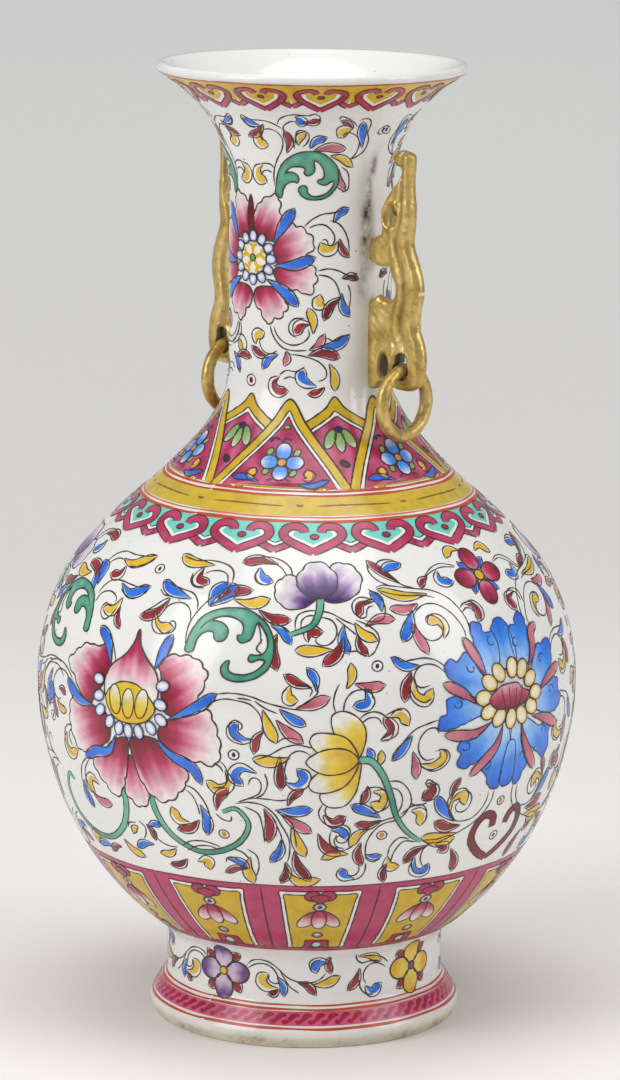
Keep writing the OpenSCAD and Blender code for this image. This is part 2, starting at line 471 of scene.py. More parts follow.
def foot_material():
    """The glaze, with bare biscuit and kiln grit below a wavering edge near the ground."""
    material, nodes, links, bsdf = new_material("foot_glaze_and_biscuit")
    where = nodes.new("ShaderNodeTexCoord")
    split = nodes.new("ShaderNodeSeparateXYZ")
    links.new(where.outputs["Object"], split.inputs[0])
    wander = nodes.new("ShaderNodeMath")
    wander.operation = "MULTIPLY_ADD"
    links.new(noise_node(nodes, links, 60, 3), wander.inputs[0])
    wander.inputs[1].default_value = -0.0022
    links.new(split.outputs["Z"], wander.inputs[2])
    bare = ramp_node(nodes, links, wander.outputs[0], [(0.0, grey(0.85)), (0.0007, grey(0))])
    glaze = ramp_node(nodes, links, noise_node(nodes, links, 14, 2),
                      [(0.3, rgb(222, 221, 216)), (0.7, rgb(230, 229, 225))])
    grit = ramp_node(nodes, links, noise_node(nodes, links, 160, 4, 0.7),
                     [(0.3, rgb(136, 112, 80)), (0.44, rgb(196, 184, 156)), (0.68, rgb(214, 206, 186))])
    links.new(mix_node(nodes, links, glaze, grit, bare), bsdf.inputs["Base Color"])
    rough = nodes.new("ShaderNodeMapRange")
    links.new(bare, rough.inputs[0])
    rough.inputs[3].default_value, rough.inputs[4].default_value = 0.12, 0.75
    links.new(rough.outputs[0], bsdf.inputs["Roughness"])
    bump_node(nodes, links, noise_node(nodes, links, 400, 3), 0.15, 0.0005, bsdf)
    return material


FOOT_GLAZE = foot_material()
foot_section()
porcelain_sections()


# ---------------------------------------------------------------- overglaze enamel: how it is laid on

def enamel_material(name, rough, pool):
    """Raised overglaze enamel: the shape's own tint, pooled unevenly, with a faint brushed relief."""
    material, nodes, links, bsdf = new_material(name)
    tint = nodes.new("ShaderNodeAttribute")
    tint.attribute_name = "tint"
    wash = ramp_node(nodes, links, noise_node(nodes, links, 260, 2),
                     [(0.3, grey(1 - pool)), (0.62, grey(1.0))])
    links.new(mix_node(nodes, links, tint.outputs["Color"], wash, 1.0, "MULTIPLY"), bsdf.inputs["Base Color"])
    bsdf.inputs["Roughness"].default_value = rough
    bsdf.inputs["IOR"].default_value = 1.5
    bump_node(nodes, links, noise_node(nodes, links, 700, 2), 0.12, 0.0002, bsdf)
    return material


class Enamel:
    """The enamel of one colour family, gathered shape by shape into a single mesh."""

    def __init__(self, name, rough=0.2, pool=0.2):
        self.name, self.material = name, enamel_material(name + "_glassy", rough, pool)
        self.points, self.faces, self.tints, self.count = [], [], [], 0

    def add(self, points, faces, tint):
        a, b, c = (points[i] for i in faces[0][:3])
        out = np.cross(b - a, c - a)
        step = 1 if out[0] * a[0] + out[1] * a[1] > 0 else -1
        self.faces += [tuple(i + self.count for i in face[::step]) for face in faces]
        self.points.append(points)
        self.tints.append(np.broadcast_to(np.asarray(tint, float), (len(points), 3)))
        self.count += len(points)

    def build(self):
        piece = add_mesh(self.name, np.vstack(self.points), self.faces, self.material)
        paint(piece, "tint", np.clip(np.vstack(self.tints), 0, 1))


RED_ENAMEL = Enamel("red_enamel", 0.22, 0.35)
ROSE_ENAMEL = Enamel("rose_enamel", 0.2, 0.22)
YELLOW_ENAMEL = Enamel("yellow_enamel", 0.2, 0.18)
BLUE_ENAMEL = Enamel("blue_enamel", 0.18, 0.2)
GREEN_ENAMEL = Enamel("green_enamel", 0.2, 0.22)
TURQUOISE_ENAMEL = Enamel("turquoise_enamel", 0.2, 0.12)
PURPLE_ENAMEL = Enamel("purple_enamel", 0.2, 0.25)
WHITE_ENAMEL = Enamel("white_enamel", 0.2, 0.06)
ORANGE_LINES = Enamel("orange_lines", 0.3, 0.25)
INK_LINES = Enamel("ink_lines", 0.35, 0.3)


def blend(a, b, t):
    """The mix of a and b, t of the way to b."""
    t = np.asarray(t, float)[..., None]
    return np.asarray(a) * (1 - t) + np.asarray(b) * t


def level_lift(level):
    """Height of a shape above the skin, mm: each level lies over the outlines of the one below."""
    return 0.04 + 0.07 * level


def strip(enamel, spot, line, half, tint, level=0, across=(-1, -0.5, 0, 0.5, 1), swell=0.03):
    """A ribbon of enamel along `line`, `half` mm to each side, swelling towards its middle."""
    side, m = side_of(line), len(across)
    rows = [spot.points(line + side * (half * k)[:, None], level_lift(level) + swell * (1 - k * k))
            for k in across]
    points = np.stack(rows, axis=1).reshape(-1, 3)
    faces = [(i * m + j, i * m + j + 1, (i + 1) * m + j + 1, (i + 1) * m + j)
             for i in range(len(line) - 1) for j in range(m - 1)]
    tint = np.asarray(tint, float)
    if tint.ndim == 2:
        tint = np.repeat(tint, m, axis=0)
    enamel.add(points, faces, tint)


def stroke(spot, path, width=0.34, level=0, closed=False, tint=INK, taper=0.12, pen=None, step=0.8):
    """One pen line, a little uneven, thinning at both ends."""
    line = spline(path, step, closed)
    if closed:
        line = np.vstack([line, line[:2]])
    if len(line) < 3:
        return
    t = np.linspace(0, 1, len(line))
    ends = 1 if closed else np.minimum(1, np.minimum(t, 1 - t) / taper + 0.3)
    wobble = 1 + 0.16 * np.sin(line[:, 0] * 1.3 + line[:, 1] * 0.9) + 0.1 * np.sin(line[:, 1] * 2.9)
    strip(pen or INK_LINES, spot, line, width * 0.6 * ends * wobble, tint, level + 0.58, (-1, 1), 0)


def inside(edge, points):
    """Which points lie inside the closed line `edge`."""
    a, b = edge[None, :, :], np.roll(edge, -1, axis=0)[None, :, :]
    p = points[:, None, :]
    crosses = (a[..., 1] > p[..., 1]) != (b[..., 1] > p[..., 1])
    rise = np.where(np.abs(b[..., 1] - a[..., 1]) < 1e-12, 1e-12, b[..., 1] - a[..., 1])
    at = a[..., 0] + (p[..., 1] - a[..., 1]) * (b[..., 0] - a[..., 0]) / rise
    return (crosses & (p[..., 0] < at)).sum(axis=1) % 2 == 1


def corners(points, step=1.4):
    """The closed line with straight sides through `points`."""
    p = np.asarray(points, float)
    rows = []
    for a, b in zip(p, np.roll(p, -1, axis=0)):
        n = max(1, int(np.linalg.norm(b - a) / step))
        rows += [a + (b - a) * k / n for k in range(n)]
    return np.array(rows)


def fill(enamel, spot, edge, tint, level=0, grid=1.4, swell=0.03):
    """Enamel filling the closed line `edge`; tint is a colour or a function of (points, depth)."""
    low, high = edge.min(axis=0), edge.max(axis=0)
    x, y = (np.arange(low[k] + grid / 2, high[k], grid) for k in (0, 1))
    inner = np.array([(i + (j % 2) * grid / 2, v) for j, v in enumerate(y) for i in x])
    if len(inner):
        near = np.linalg.norm(inner[:, None] - edge[None], axis=2).min(axis=1)
        inner = inner[inside(edge, inner) & (near > grid * 0.45)]
    verts = [Vector(p) for p in edge] + [Vector(p) for p in inner]
    found = geometry.delaunay_2d_cdt(verts, [], [list(range(len(edge)))], 1, 1e-4)
    uv = np.array([p[:] for p in found[0]])
    if not found[2]:
        return
    depth = np.linalg.norm(uv[:, None] - edge[None], axis=2).min(axis=1)
    lift = level_lift(level) + swell * (1 - np.exp(-depth / 0.8))
    colour = tint(uv, depth) if callable(tint) else tint
    enamel.add(spot.points(uv, lift), [tuple(f) for f in found[2]], colour)


def shape(enamel, spot, outline, tint, level=0, width=0.38, grid=1.4, smooth=True, pen=INK):
    """A filled shape and the pen line round it."""
    edge = spline(outline, 0.8, closed=True) if smooth else corners(outline)
    fill(enamel, spot, edge, tint, level, grid)
    if width:
        stroke(spot, edge, width, level, closed=True, tint=pen)


def scalloped(outline, centre, wave=5.0, height=0.9, start=0.55):
    """The smooth closed outline, with scallops along the part far from `centre`."""
    edge = spline(outline, 0.5, closed=True)
    along = np.concatenate([[0], np.cumsum(np.linalg.norm(np.diff(edge, axis=0), axis=1))])
    area = np.sum(edge[:, 0] * np.roll(edge[:, 1], -1) - edge[:, 1] * np.roll(edge[:, 0], -1))
    out = -side_of(edge) * np.sign(area)
    far = np.linalg.norm(edge - centre, axis=1)
    weight = ease((far / far.max() - start) / 0.2)
    bulge = np.abs(np.sin(math.pi * along / wave)) ** 0.7 - 0.5
    return edge + out * (bulge * height * weight)[:, None]


def toward(root, tip, stops, rim=None, streak=0.05):
    """A tint running through `stops` from root to tip, brushed in streaks, and paler at the far rim."""
    root, tip = np.asarray(root, float), np.asarray(tip, float)
    axis = (tip - root) / np.linalg.norm(tip - root) ** 2
    places, colours = [s[0] for s in stops], np.array([s[1] for s in stops])

    def tint(uv, depth):
        t = (uv - root) @ axis
        wide = (uv - root) @ np.array([-axis[1], axis[0]])
        t = t + streak * np.sin(wide * 19 + 1.3) + streak * 0.6 * np.sin(wide * 43)
        colour = np.column_stack([np.interp(t, places, colours[:, k]) for k in range(3)])
        if rim is not None:
            pale = (1 - ease(depth / 1.8)) * ease((t - 0.35) / 0.3) * 0.85
            colour = blend(colour, rim, pale)
        return colour
    return tint


def oval(centre, along, across, turn=0.0, n=20):
    """A closed oval, `along` long at `turn` degrees from the u direction and `across` wide."""
    a = np.arange(n) * 2 * math.pi / n
    c, s = math.cos(math.radians(turn)), math.sin(math.radians(turn))
    x, y = along / 2 * np.cos(a), across / 2 * np.sin(a)
    return np.column_stack([centre[0] + c * x - s * y, centre[1] + s * x + c * y])


def rimmed(rim, middle, depth_of_rim=0.7):
    """A tint that is `rim` at the edge and `middle` inside."""
    return lambda uv, depth: blend(rim, middle, ease(depth / depth_of_rim))


def leaf_half(t, full=0.62):
    """Half-width of a brush dab: drawn thin from the root, fullest at `full`, rounded at the tip."""
    grow = np.clip(t / full, 0, 1) ** 1.15
    close = np.sqrt(np.clip(1 - ((t - full) / (1 - full)) ** 2, 0, 1))
    return np.where(t < full, np.sin(grow * math.pi / 2), close)


BRUSHES = {
    "red": (RED_ENAMEL, IRON_RED, rgb(168, 52, 60)), "dark": (RED_ENAMEL, rgb(96, 24, 30), IRON_RED),
    "pink": (ROSE_ENAMEL, rgb(178, 60, 88), rgb(214, 128, 142)), "blue": (BLUE_ENAMEL, BLUE, DEEP_BLUE),
    "yellow": (YELLOW_ENAMEL, YELLOW, rgb(226, 188, 62)), "green": (GREEN_ENAMEL, PALE_GREEN, GREEN),
    "orange": (YELLOW_ENAMEL, rgb(214, 150, 30), YELLOW), "lilac": (PURPLE_ENAMEL, PURPLE, LILAC),
}


def bent(path, share=0.12):
    """Two points become a gently bowed path."""
    p = np.asarray(path, float)
    if len(p) > 2:
        return p
    way = 1 if int(abs(p[0][0] * 10) + abs(p[1][1] * 10)) % 2 else -1
    d = p[1] - p[0]
    middle = (p[0] + p[1]) / 2 + way * share * np.array([-d[1], d[0]])
    return np.array([p[0], middle, p[1]])


def dab(spot, brush, path, width=None, level=0, full=0.68, loose=0.3, hollow=0.25):
    """One brush-drawn leaf from root to tip; its pen outline stands off most on the outside of the bend."""
    enamel, root, tip = BRUSHES[brush]
    line = spline(bent(path), 0.7)
    length = np.linalg.norm(np.diff(line, axis=0), axis=1).sum()
    width = width or min(2.9, max(1.7, 0.27 * length))
    t = np.linspace(0, 1, len(line))
    half = width / 2 * leaf_half(t, full)
    strip(enamel, spot, line, np.maximum(half - 0.1, 0.05), blend(root, tip, t), level)
    side = side_of(line)
    chord = line[-1] - line[0]
    sag = line[len(line) // 2] - (line[0] + line[-1]) / 2
    left = np.array([-chord[1], chord[0]])
    outer = 1 if sag @ left * (side[0] @ left) > 0 else -1
    near = (half + loose * (0.3 + 0.7 * t))[:, None]
    far = near + (hollow * np.sin(math.pi * np.minimum(t * 1.15, 1)) + 0.04)[:, None]
    tip = line[-1] + (line[-1] - line[-2]) / np.linalg.norm(line[-1] - line[-2]) * (loose + 0.35)
    stroke(spot, np.vstack([(line + side * outer * far)[:-1:2], [tip]]), 0.34, level)
    stroke(spot, np.vstack([(line - side * outer * near)[:-1:2], [tip]]), 0.34, level)


def comma(spot, brush, path, width=2.5, level=0):
    """A hooked drop: thin tail first, round head last."""
    dab(spot, brush, path, width, level, full=0.78, loose=0.36, hollow=0.8)


def tendril(spot, path, width=1.3, level=0):
    """A hollow scroll: two pen lines that run together at the tip."""
    line = spline(path, 0.9)
    t = np.linspace(0, 1, len(line))
    side = side_of(line) * (width / 2 * (0.35 + 0.65 * np.sin(math.pi * np.minimum(t * 1.25, 1))))[:, None]
    stroke(spot, (line + side)[::2], 0.28, level)
    stroke(spot, (line - side)[::2], 0.28, level)


def vine(spot, path, wide, colour=(GREEN, PALE_GREEN), level=0, enamel=GREEN_ENAMEL):
    """A stem of enamel between pen lines; `wide` holds its width at points spaced evenly along it."""
    line = spline(path, 0.8)
    t = np.linspace(0, 1, len(line))
    half = np.interp(t, np.linspace(0, 1, len(wide)), wide) / 2
    strip(enamel, spot, line, half, blend(colour[0], colour[1], 0.5 + 0.5 * np.sin(t * 9)), level)
    for way in (1, -1):
        stroke(spot, (line + way * side_of(line) * half[:, None])[::2], 0.32, level)


def bead(spot, centre, size=1.5, tint=PURPLE, enamel=PURPLE_ENAMEL, ring=3.4):
    """A dot of enamel inside a pen ring."""
    fill(enamel, spot, oval(centre, size * 0.8, size, 0, 12), tint, 0)
    if ring:
        stroke(spot, oval(centre, ring, ring * 0.92), 0.3, 0, closed=True)


def marks(spot, text, level=0):
    """Draws one mark per line of `text`: its kind, then its points as u,v in mm."""
    for row in text.split("\n"):
        if not row:
            continue
        kind, *pairs = row.split()
        path = [tuple(float(x) for x in pair.split(",")) for pair in pairs]
        if kind == "line":
            stroke(spot, path, 0.36, level)
        elif kind == "stem":
            tendril(spot, path, level=level)
        elif kind == "vine":
            vine(spot, path, [2.2, 2.0, 1.8, 1.5, 1.2], level=level)
        elif kind == "dot":
            bead(spot, path[0])
        elif kind == "spot":
            bead(spot, path[0], 2.0, rgb(206, 140, 30), YELLOW_ENAMEL, 3.2)
        elif kind.endswith("_"):
            comma(spot, kind[:-1], path, level=level)
        else:
            dab(spot, kind, path, level=level)


# Heights that the patterns are drawn about, mm up the wall from the waist.
BELLY_UP, BAND_UP, LAPPET_UP, NECK_UP, FLARE_UP, MOUTH_UP = 105, 167.8, 182, 240, 282, 296


# ---------------------------------------------------------------- pink lotus

PINK_STOPS = [(0, CRIMSON), (0.25, rgb(140, 26, 50)), (0.45, ROSE), (0.66, rgb(216, 140, 164)),
              (0.85, rgb(232, 196, 204)), (1, WHITE)]
PINK_PETALS = [
    ((10, -4), (25, 6), [(14.6, -8.6), (11.8, 2.9), (10.7, 5), (12.9, 8.2), (17, 9), (22.5, 8.6), (27, 4.5),
                         (26, -1), (24, -5), (20.7, -8.6)], 4.6),
    ((10, -12), (31, -15), [(13.6, -11.4), (18.6, -10), (25.7, -7.1), (28.5, -6.4), (31.4, -11.4),
                            (32.6, -18.9),
                            (30.5, -23), (25.7, -22.4), (20.7, -22), (15.7, -20), (12.1, -16.4)], 4.8),
    ((6, -16), (13, -37), [(1.4, -18.6), (2.1, -24.3), (3.6, -29.3), (6.4, -34), (10.7, -37), (14.8, -36),
                           (19, -32), (21.2, -28.6), (20.6, -24.3), (14.3, -20.7), (10.7, -17.1)], 5),
    ((-2, -16), (-9, -38), [(0, -18.6), (-0.7, -27.9), (-2.9, -33.6), (-7.1, -38.5), (-11.6, -35),
                            (-15.2, -31),
                            (-16, -27.9), (-10.5, -24.3), (-5.7, -20)], 4.6),
    ((-8, -12), (-26, -19), [(-8.6, -12.1), (-19.3, -10.7), (-25.7, -10), (-27.8, -15), (-27, -21),
                             (-23.4, -26),
                             (-19.3, -26), (-12.9, -23.6), (-7.1, -19.3)], 4.6),
    ((-9, -4), (-25, 4), [(-14.3, -8.6), (-7.9, 2.9), (-10.5, 8.6), (-15, 7.4), (-21, 7), (-26.5, 3.5),
                          (-30, 0), (-25.6, -3.4), (-21.4, -7.9), (-16.4, -10.4)], 4.8)]
PINK_TIP = [(1, -23.6), (-2, -31), (-3, -36), (-0.9, -38.5), (2.1, -40.4), (5, -39), (6.6, -36), (4, -30)]
PINK_ONION = [(0.9, 15), (2.6, 10.6), (5.7, 7), (10.4, 2.6), (11.8, -2.1), (10.4, -7.1), (1, -10),
              (-8.4, -7.1), (-9.6, -2.1), (-7.4, 2.9), (-2.6, 6.8), (-0.2, 10.4)]
PINK_BEADS = [(-12.3, -2.1), (-11.8, -7.1), (-11, -11.4), (-6.8, -14.3), (-2.9, -15.7), (0.9, -16),
              (5, -15.7), (9.6, -13.9), (13.2, -11), (12.9, -6.4), (13.2, -0.7)]
PINK_LEAVES = """
blue 15.7,-10.4 25,-5.7 30.7,-1.4
blue 10.7,-16.8 16.4,-21.4 23.6,-25 25.7,-29.3
blue -4.3,-17.9 -7.9,-23.6 -14.3,-25 -20,-27.9
blue -14.3,-10.7 -22,-10 -29.3,-5.4
blue 9.3,3.6 11,8.6 12.9,14.6
blue -7.9,3.2 -11.4,10 -15.7,13.2
"""


def pink_lotus(spot):
    """The large pink lotus with an upright bud at its heart."""
    rim = rgb(238, 222, 224)
    fill_tint = toward((1, -20), (2, -40), PINK_STOPS, rim)
    edge = scalloped(PINK_TIP, (1, -20), 4.2)
    fill(ROSE_ENAMEL, spot, edge, fill_tint, 0)
    stroke(spot, edge, 0.4, 0, closed=True)
    for root, tip, outline, wave in PINK_PETALS:
        edge = scalloped(outline, np.array(root, float), wave)
        fill(ROSE_ENAMEL, spot, edge, toward(root, tip, PINK_STOPS, rim), 1, 1.1)
        stroke(spot, edge[::2], 0.42, 1, closed=True)
    marks(spot, PINK_LEAVES, 2)
    onion = toward((1, 15), (1, -8), [(0, CRIMSON), (0.35, ROSE), (0.6, BLUSH), (0.8, WHITE)])
    shape(ROSE_ENAMEL, spot, PINK_ONION, onion, 3, 0.45, 1.1)
    yolk = [(-8.6, -6.5), (-5, -2.5), (-1, -1.2), (4, -1.6), (8.5, -4.5), (11, -8), (7.9, -12), (0.7, -13.6),
            (-5.7, -12)]
    shape(YELLOW_ENAMEL, spot, yolk, toward((1, -2), (1, -13), [(0, LEMON), (1, YELLOW)]), 4, 0.35)
    for u, v, turn in ((-4.5, -7, 100), (0.8, -7.6, 90), (6, -7, 80)):
        petal = toward((u, v - 5), (u, v + 4), [(0, YELLOW), (0.5, LEMON), (1, WHITE)])
        shape(YELLOW_ENAMEL, spot, oval((u, v), 9, 4.6, turn), petal, 5, 0.34)
    for u, v in PINK_BEADS:
        turn = math.degrees(math.atan2(v + 3, u - 0.9))
        shape(WHITE_ENAMEL, spot, oval((u, v), 4.6, 3.4, turn), rimmed(BLUE, WHITE, 0.9), 5, 0.34, 0.9)


ACANTHUS = [
    (18.6, 10.7), (18.4, 14.3), (19.4, 18.6), (21.4, 22.1), (25, 24.3), (29.3, 25.2), (33.6, 25),
    (37.9, 23.2),
    (42.1, 20), (45, 15.7), (46.2, 10.7), (45.4, 7.1), (42.9, 4.6), (39.3, 3.2), (35, 3), (32.1, 4.3),
    (31.1, 6.4), (31.8, 8.4), (33.3, 8.9), (33.3, 6.8), (34.6, 5.4), (37.9, 5), (40.7, 5.7), (42.9, 7.3),
    (44, 9.4), (42.1, 9.8), (40.1, 8.9), (38.9, 9.6), (39.1, 11.1), (41.1, 11), (43, 11.7), (43.7, 13.6),
    (42.9, 16.4), (40.7, 19.3), (38.6, 21.1), (38.4, 17.9), (38, 15.7), (35.7, 14.5), (34.1, 15.6),
    (33.8, 16.9), (34.9, 16.9), (35, 18.6), (34.1, 20.4), (32.1, 21.6), (29.3, 22.4), (26.4, 22),
    (24.3, 20.9),
    (27.5, 20.4), (29.9, 18.9), (30.7, 16.8), (29.9, 14.9), (28, 14.5), (26.6, 15.6), (26.1, 17),
    (24.3, 17.3), (22.5, 16.3), (21.4, 14.3), (20.9, 10.7)]
ACANTHUS_VEINS = """
line 38.6,21.1 40.4,17.8 41.6,14.4
line 24.3,20.9 22.6,19.6 21.4,17.6
line 41.6,16 40.6,13 42.4,11.6
"""


def leaf_wash(uv, depth):
    """Deep green at the rim of a scrolled leaf, running to a pale middle."""
    pool = 0.5 + 0.3 * np.sin(uv[:, 0] * 0.9 + 1) * np.sin(uv[:, 1] * 0.7)
    return blend(GREEN, PALE_GREEN, ease(depth / 1.5) * pool * 1.2)


def acanthus(spot):
    """The scrolled green leaf beside the pink lotus."""
    shape(GREEN_ENAMEL, spot, ACANTHUS, leaf_wash, 1, 0.4, 1.0)
    marks(spot, ACANTHUS_VEINS, 1)


PINK_SPRIGS = """
yellow 17.1,38.9 8.6,39.3 5,41.1
red_ 13.9,37.9 14.3,33.6 17.9,32.5
blue 22.1,25 27.1,30 25.7,32.9
blue 15,26.8 7.1,28.9 3.2,31.4
red 7.9,25.7 5,21.1 -0.4,18.9
yellow_ 4.3,21.4 7.1,17.1 12.1,17.1
yellow -18.6,35.7 -12.9,35 -5,38.9
red_ -15.4,33.6 -16.4,30.7 -20.7,29.6
blue -26.1,20.7 -27.9,26.4 -27.1,30.4
blue -13.6,27.9 -7.9,25.4 -1.4,28.6
yellow_ -10.4,23.6 -12.9,19.3 -17.1,18.9
red -10,20.7 -10,17.1 -7.9,14.3
dot -1.1,35.1
vine 7.1,-35 8.2,-41.4 12.1,-48.6 20,-53.2 28.6,-51.8 35.7,-47.1 38.6,-41.4 35.7,-36.8 31.1,-38.2
vine -4.3,-35 -3.6,-40 -7.1,-48.6 -15.7,-55 -25,-55 -33.6,-50 -36.4,-42.1 -32.9,-36.4 -30,-37.9
red 29.3,-37.9 33.9,-30.4
yellow_ 19.6,-43.2 16,-42.4 14.4,-39
red 23.2,-41.8 15,-46.1
blue 24.3,-36.4 24.6,-46.4
spot 30.1,-45.9
yellow_ 33.9,-24.3 34.6,-28.6 31,-30.6 27.9,-28.6
blue_ 43.6,-24.6 38.6,-23.6 36.4,-26.4 38.6,-28.6
dot 36.8,-19.3
yellow_ -15,-36.4 -18.6,-34.8 -20.4,-37.4 -18.6,-39.6
blue -23.6,-36.4 -20.7,-45
pink -19.3,-40 -10.7,-42.1
red -35.7,-9.3 -31.1,-10.4
yellow -37.1,-13.2 -30.7,-15.7
red -39.6,-12.1 -37.1,-18.6
blue -41.4,-4.3 -44.3,-16.4
yellow_ -30.7,-22.1 -31.6,-26.4 -29,-28.8 -25,-27.1
yellow -0.7,-47.9 -3.6,-50.7
red 2.9,-46.4 5,-51.4
blue 3.6,-47.1 8.6,-45.7
yellow -9.3,-54.3 -2.1,-59.3
blue 3.9,-53.6 -3.6,-56.1
yellow 12.1,-53.6 5.7,-56.4
dark 15,-57 8,-60.5
red -12,-58 -18,-61
blue -17,-59.5 -25,-60
line 5,40.9 7.1,40.4 10.7,39.8 14.3,40.4 18.6,40.1 22.1,38.9 24.3,36.8 25.5,33.2
line 15.4,35.7 17.1,36.8 20,37.1 22.5,36.1 23.9,33.6 24.3,31.8
line 11.4,35.4 12.1,32.5 14.3,30.9 17.5,30.7
line 24.3,31.4 21.4,27.9 18.6,22.9 17.5,19.3 17.5,15.7 18.2,12.1
line 2.7,30.4 4.3,32.1 6.4,30.7 10.7,29.6 15,28.6 17.5,26.1 18.4,23.6
line 3,28.6 5,27 8.6,26.8
line 7.1,21.1 8.2,23.6 10.7,25 13.6,25 16.1,23.2 17.5,20
line -0.7,19.6 1.4,21.4 3.6,23.2 6.4,25.7 8.2,26.1
line 4.6,20 6.4,17.1 9.3,15.1 12.1,15.6 13.2,17.1 12.5,18.9 11.1,19.1 10.7,17.9
line 12.9,14.3 13.2,10 11.4,5.7
line -15.4,12.9 -12.9,12.5 -9.3,10 -7.1,6.4 -6.4,4.3
line -27.1,30.7 -26.1,33.6 -23.6,36.4 -19.3,38.2 -14.3,38 -10,38.2 -7.1,38.6 -4.9,39.6
line -4.9,38.6 -7.1,36.1 -10.7,34.3 -14.3,33.7
line -25.4,31.4 -23.6,33.9 -20.7,35.4 -18.6,35.4
line -23.2,22.5 -21.4,25.7 -18.6,27.9 -14.3,28.6 -10,28.2 -5.7,27.9 -1.8,28.8
line -1.6,27.5 -3.6,25 -7.1,23.9 -10,24.6 -12.9,26.1
line -22.9,20 -21.4,22.9 -18.6,24.3 -15.7,24.3 -13.2,22.9 -12.9,21.4
line -11.4,20 -12.9,17.5 -15.7,15.7 -17.9,16.8 -18.6,18.9 -17.1,20.7 -15,20 -12.9,20.7
line 32.1,-21.4 33.9,-23.2 34.6,-26.4 32.9,-29.6 29.3,-30.4
line 30,-22.5 32.1,-23.2 33.2,-25
line 19.6,-30.4 22.9,-31.4 25.7,-35 26.8,-39.3 26.1,-43.6 25,-47.1
line 20.4,-32.1 22.1,-33.6 23.2,-36.4 23.6,-40
line 14.6,-52.1 17.9,-50 22.9,-49.3 27.9,-50.7
line 16.1,-53.6 20,-51.4 24.3,-50.9 27.1,-51.9
line 28.9,-38.9 30.7,-40.7 33.2,-41.1 33.9,-39.3
line 5.4,-47.5 5.7,-50.7 9.3,-52.9 12.9,-52.9
line 0,-45.7 2.1,-47.5 1.8,-50 0.4,-52
line -5.4,-49 -4.3,-47.2 -1.4,-46.6
line -15.7,-27.9 -20,-28.6 -23.2,-31.4 -24.6,-35.7 -23.6,-40 -21.4,-45
line -18.6,-28.6 -21.4,-32.1 -22.1,-35 -20.7,-38.6 -18.6,-40
line -26.4,-5 -29.3,-2.9 -33.6,-1.1 -39.3,-1.1 -44.3,-2.9 -48.6,-6.4
line -27.9,-6.1 -30.7,-3.9 -33.6,-3.2 -36.8,-3.9 -39.6,-6.4 -40.4,-9.6 -38.6,-12.1 -35.7,-12.9 -33.9,-12.1
line -26.4,-19.6 -29.3,-19.6 -31.8,-21.4 -32.5,-24.3 -31.1,-27.5 -27.9,-29.3
line -26.4,-20.7 -28.6,-21.4 -29.3,-23.6 -27.9,-26.1
"""

# ---------------------------------------------------------------- blue lotus

BLUE_PETALS = [
    ([(-4, 2), (-7.5, 4.3), (-7.9, 14.3), (-5.7, 17.1), (-3.6, 18.2), (-0.7, 16.4), (0, 13.6), (0.4, 4.3)],
     None),
    ([(-12, -3), (-13.6, 0), (-15.7, 10), (-15.4, 17.1), (-13.6, 18.2), (-11.4, 17.1), (-11, 14.3),
      (-7.9, 14.3),
      (-6.8, 11.4), (-7.1, 5.7)], (-8.9, 11.4)),
    ([(0.4, 4.3), (-0.7, 11.4), (0.7, 14.6), (3.6, 15), (4.6, 17.1), (7.1, 18.2), (8.9, 16.4), (8.9, 10.7),
      (7.1, 4.3), (5, 2.1)], (1.6, 9.3)),
    ([(-18.6, -4.3), (-23.6, -1.4), (-28.6, 5), (-26.4, 7.9), (-23.2, 7.1), (-20.7, 9.3), (-17.9, 7.9),
      (-16.4, 3.6), (-13, -1)], (-18.9, 4.6)),
    ([(-15, -9), (-19.3, -10.7), (-32.1, -12.9), (-31.8, -9.3), (-29.3, -7.9), (-29.3, -4.3), (-26.4, -3.2),
      (-23.6, -4.3), (-16, -4.5)], (-25, -5.4)),
    ([(-12.9, -13), (-19.3, -17.1), (-22.1, -16.3), (-24.6, -17.5), (-25, -20), (-23.6, -21.4), (-25, -23.6),
      (-22.9, -25.9), (-19.3, -25), (-11.4, -20.7), (-7.9, -14)], (-22.1, -18.6)),
    ([(-7.9, -14), (-10, -20.7), (-14.3, -24.3), (-15.4, -27.1), (-12.9, -29.3), (-11.4, -32.9),
      (-8.6, -34.6),
      (-6.8, -34.6), (-6.8, -30.7), (-4.6, -24.3), (-4.3, -14)], (-12.9, -25.7)),
    ([(-4.4, -20), (-6.4, -30.7), (-5.7, -33.6), (-3.2, -34.6), (-0.7, -32.9), (-0.7, -27), (-2, -20)], None),
    ([(-4.3, -14), (-0.7, -30), (0.4, -34.3), (2.9, -34.6), (4.3, -31.4), (6.1, -29.3), (5.7, -26.4),
      (3.2, -24.3), (1.4, -20.7), (0.4, -14)], (2.5, -25.7)),
    ([(1.4, -13), (5.7, -15), (11.4, -17.9), (15, -17.5), (17.9, -19.3), (17.5, -22.1), (18.2, -25.7),
      (15.4, -28.9), (12.9, -27.1), (7.1, -23.6), (2.9, -19.3)], (13.6, -19.6)),
    ([(7, -11), (10, -12.9), (17.9, -15), (23.6, -14.3), (26.1, -11.4), (23.6, -8.9), (23.6, -5.7),
      (20, -4.6),
      (16.4, -5.7), (8, -6)], (17.9, -7.9)),
    ([(5, -1), (7.1, 0.7), (10.7, 5.7), (12.9, 7.1), (15.7, 6.8), (18.2, 7.9), (21, 6.4), (20.4, 2.1),
      (18.6, -1.4), (10.7, -5.7)], (13.2, 2.5))]
BLUE_BEADS = [(-8.6, 1.8), (-2.5, 2.5), (2.1, 1.4), (5.7, -2.1), (8.2, -6.8), (5.7, -10.7), (0.7, -12.5),
              (-4.3, -12.9), (-9.6, -11.8), (-13.9, -9.3), (-15.7, -5), (-12.9, -0.7)]
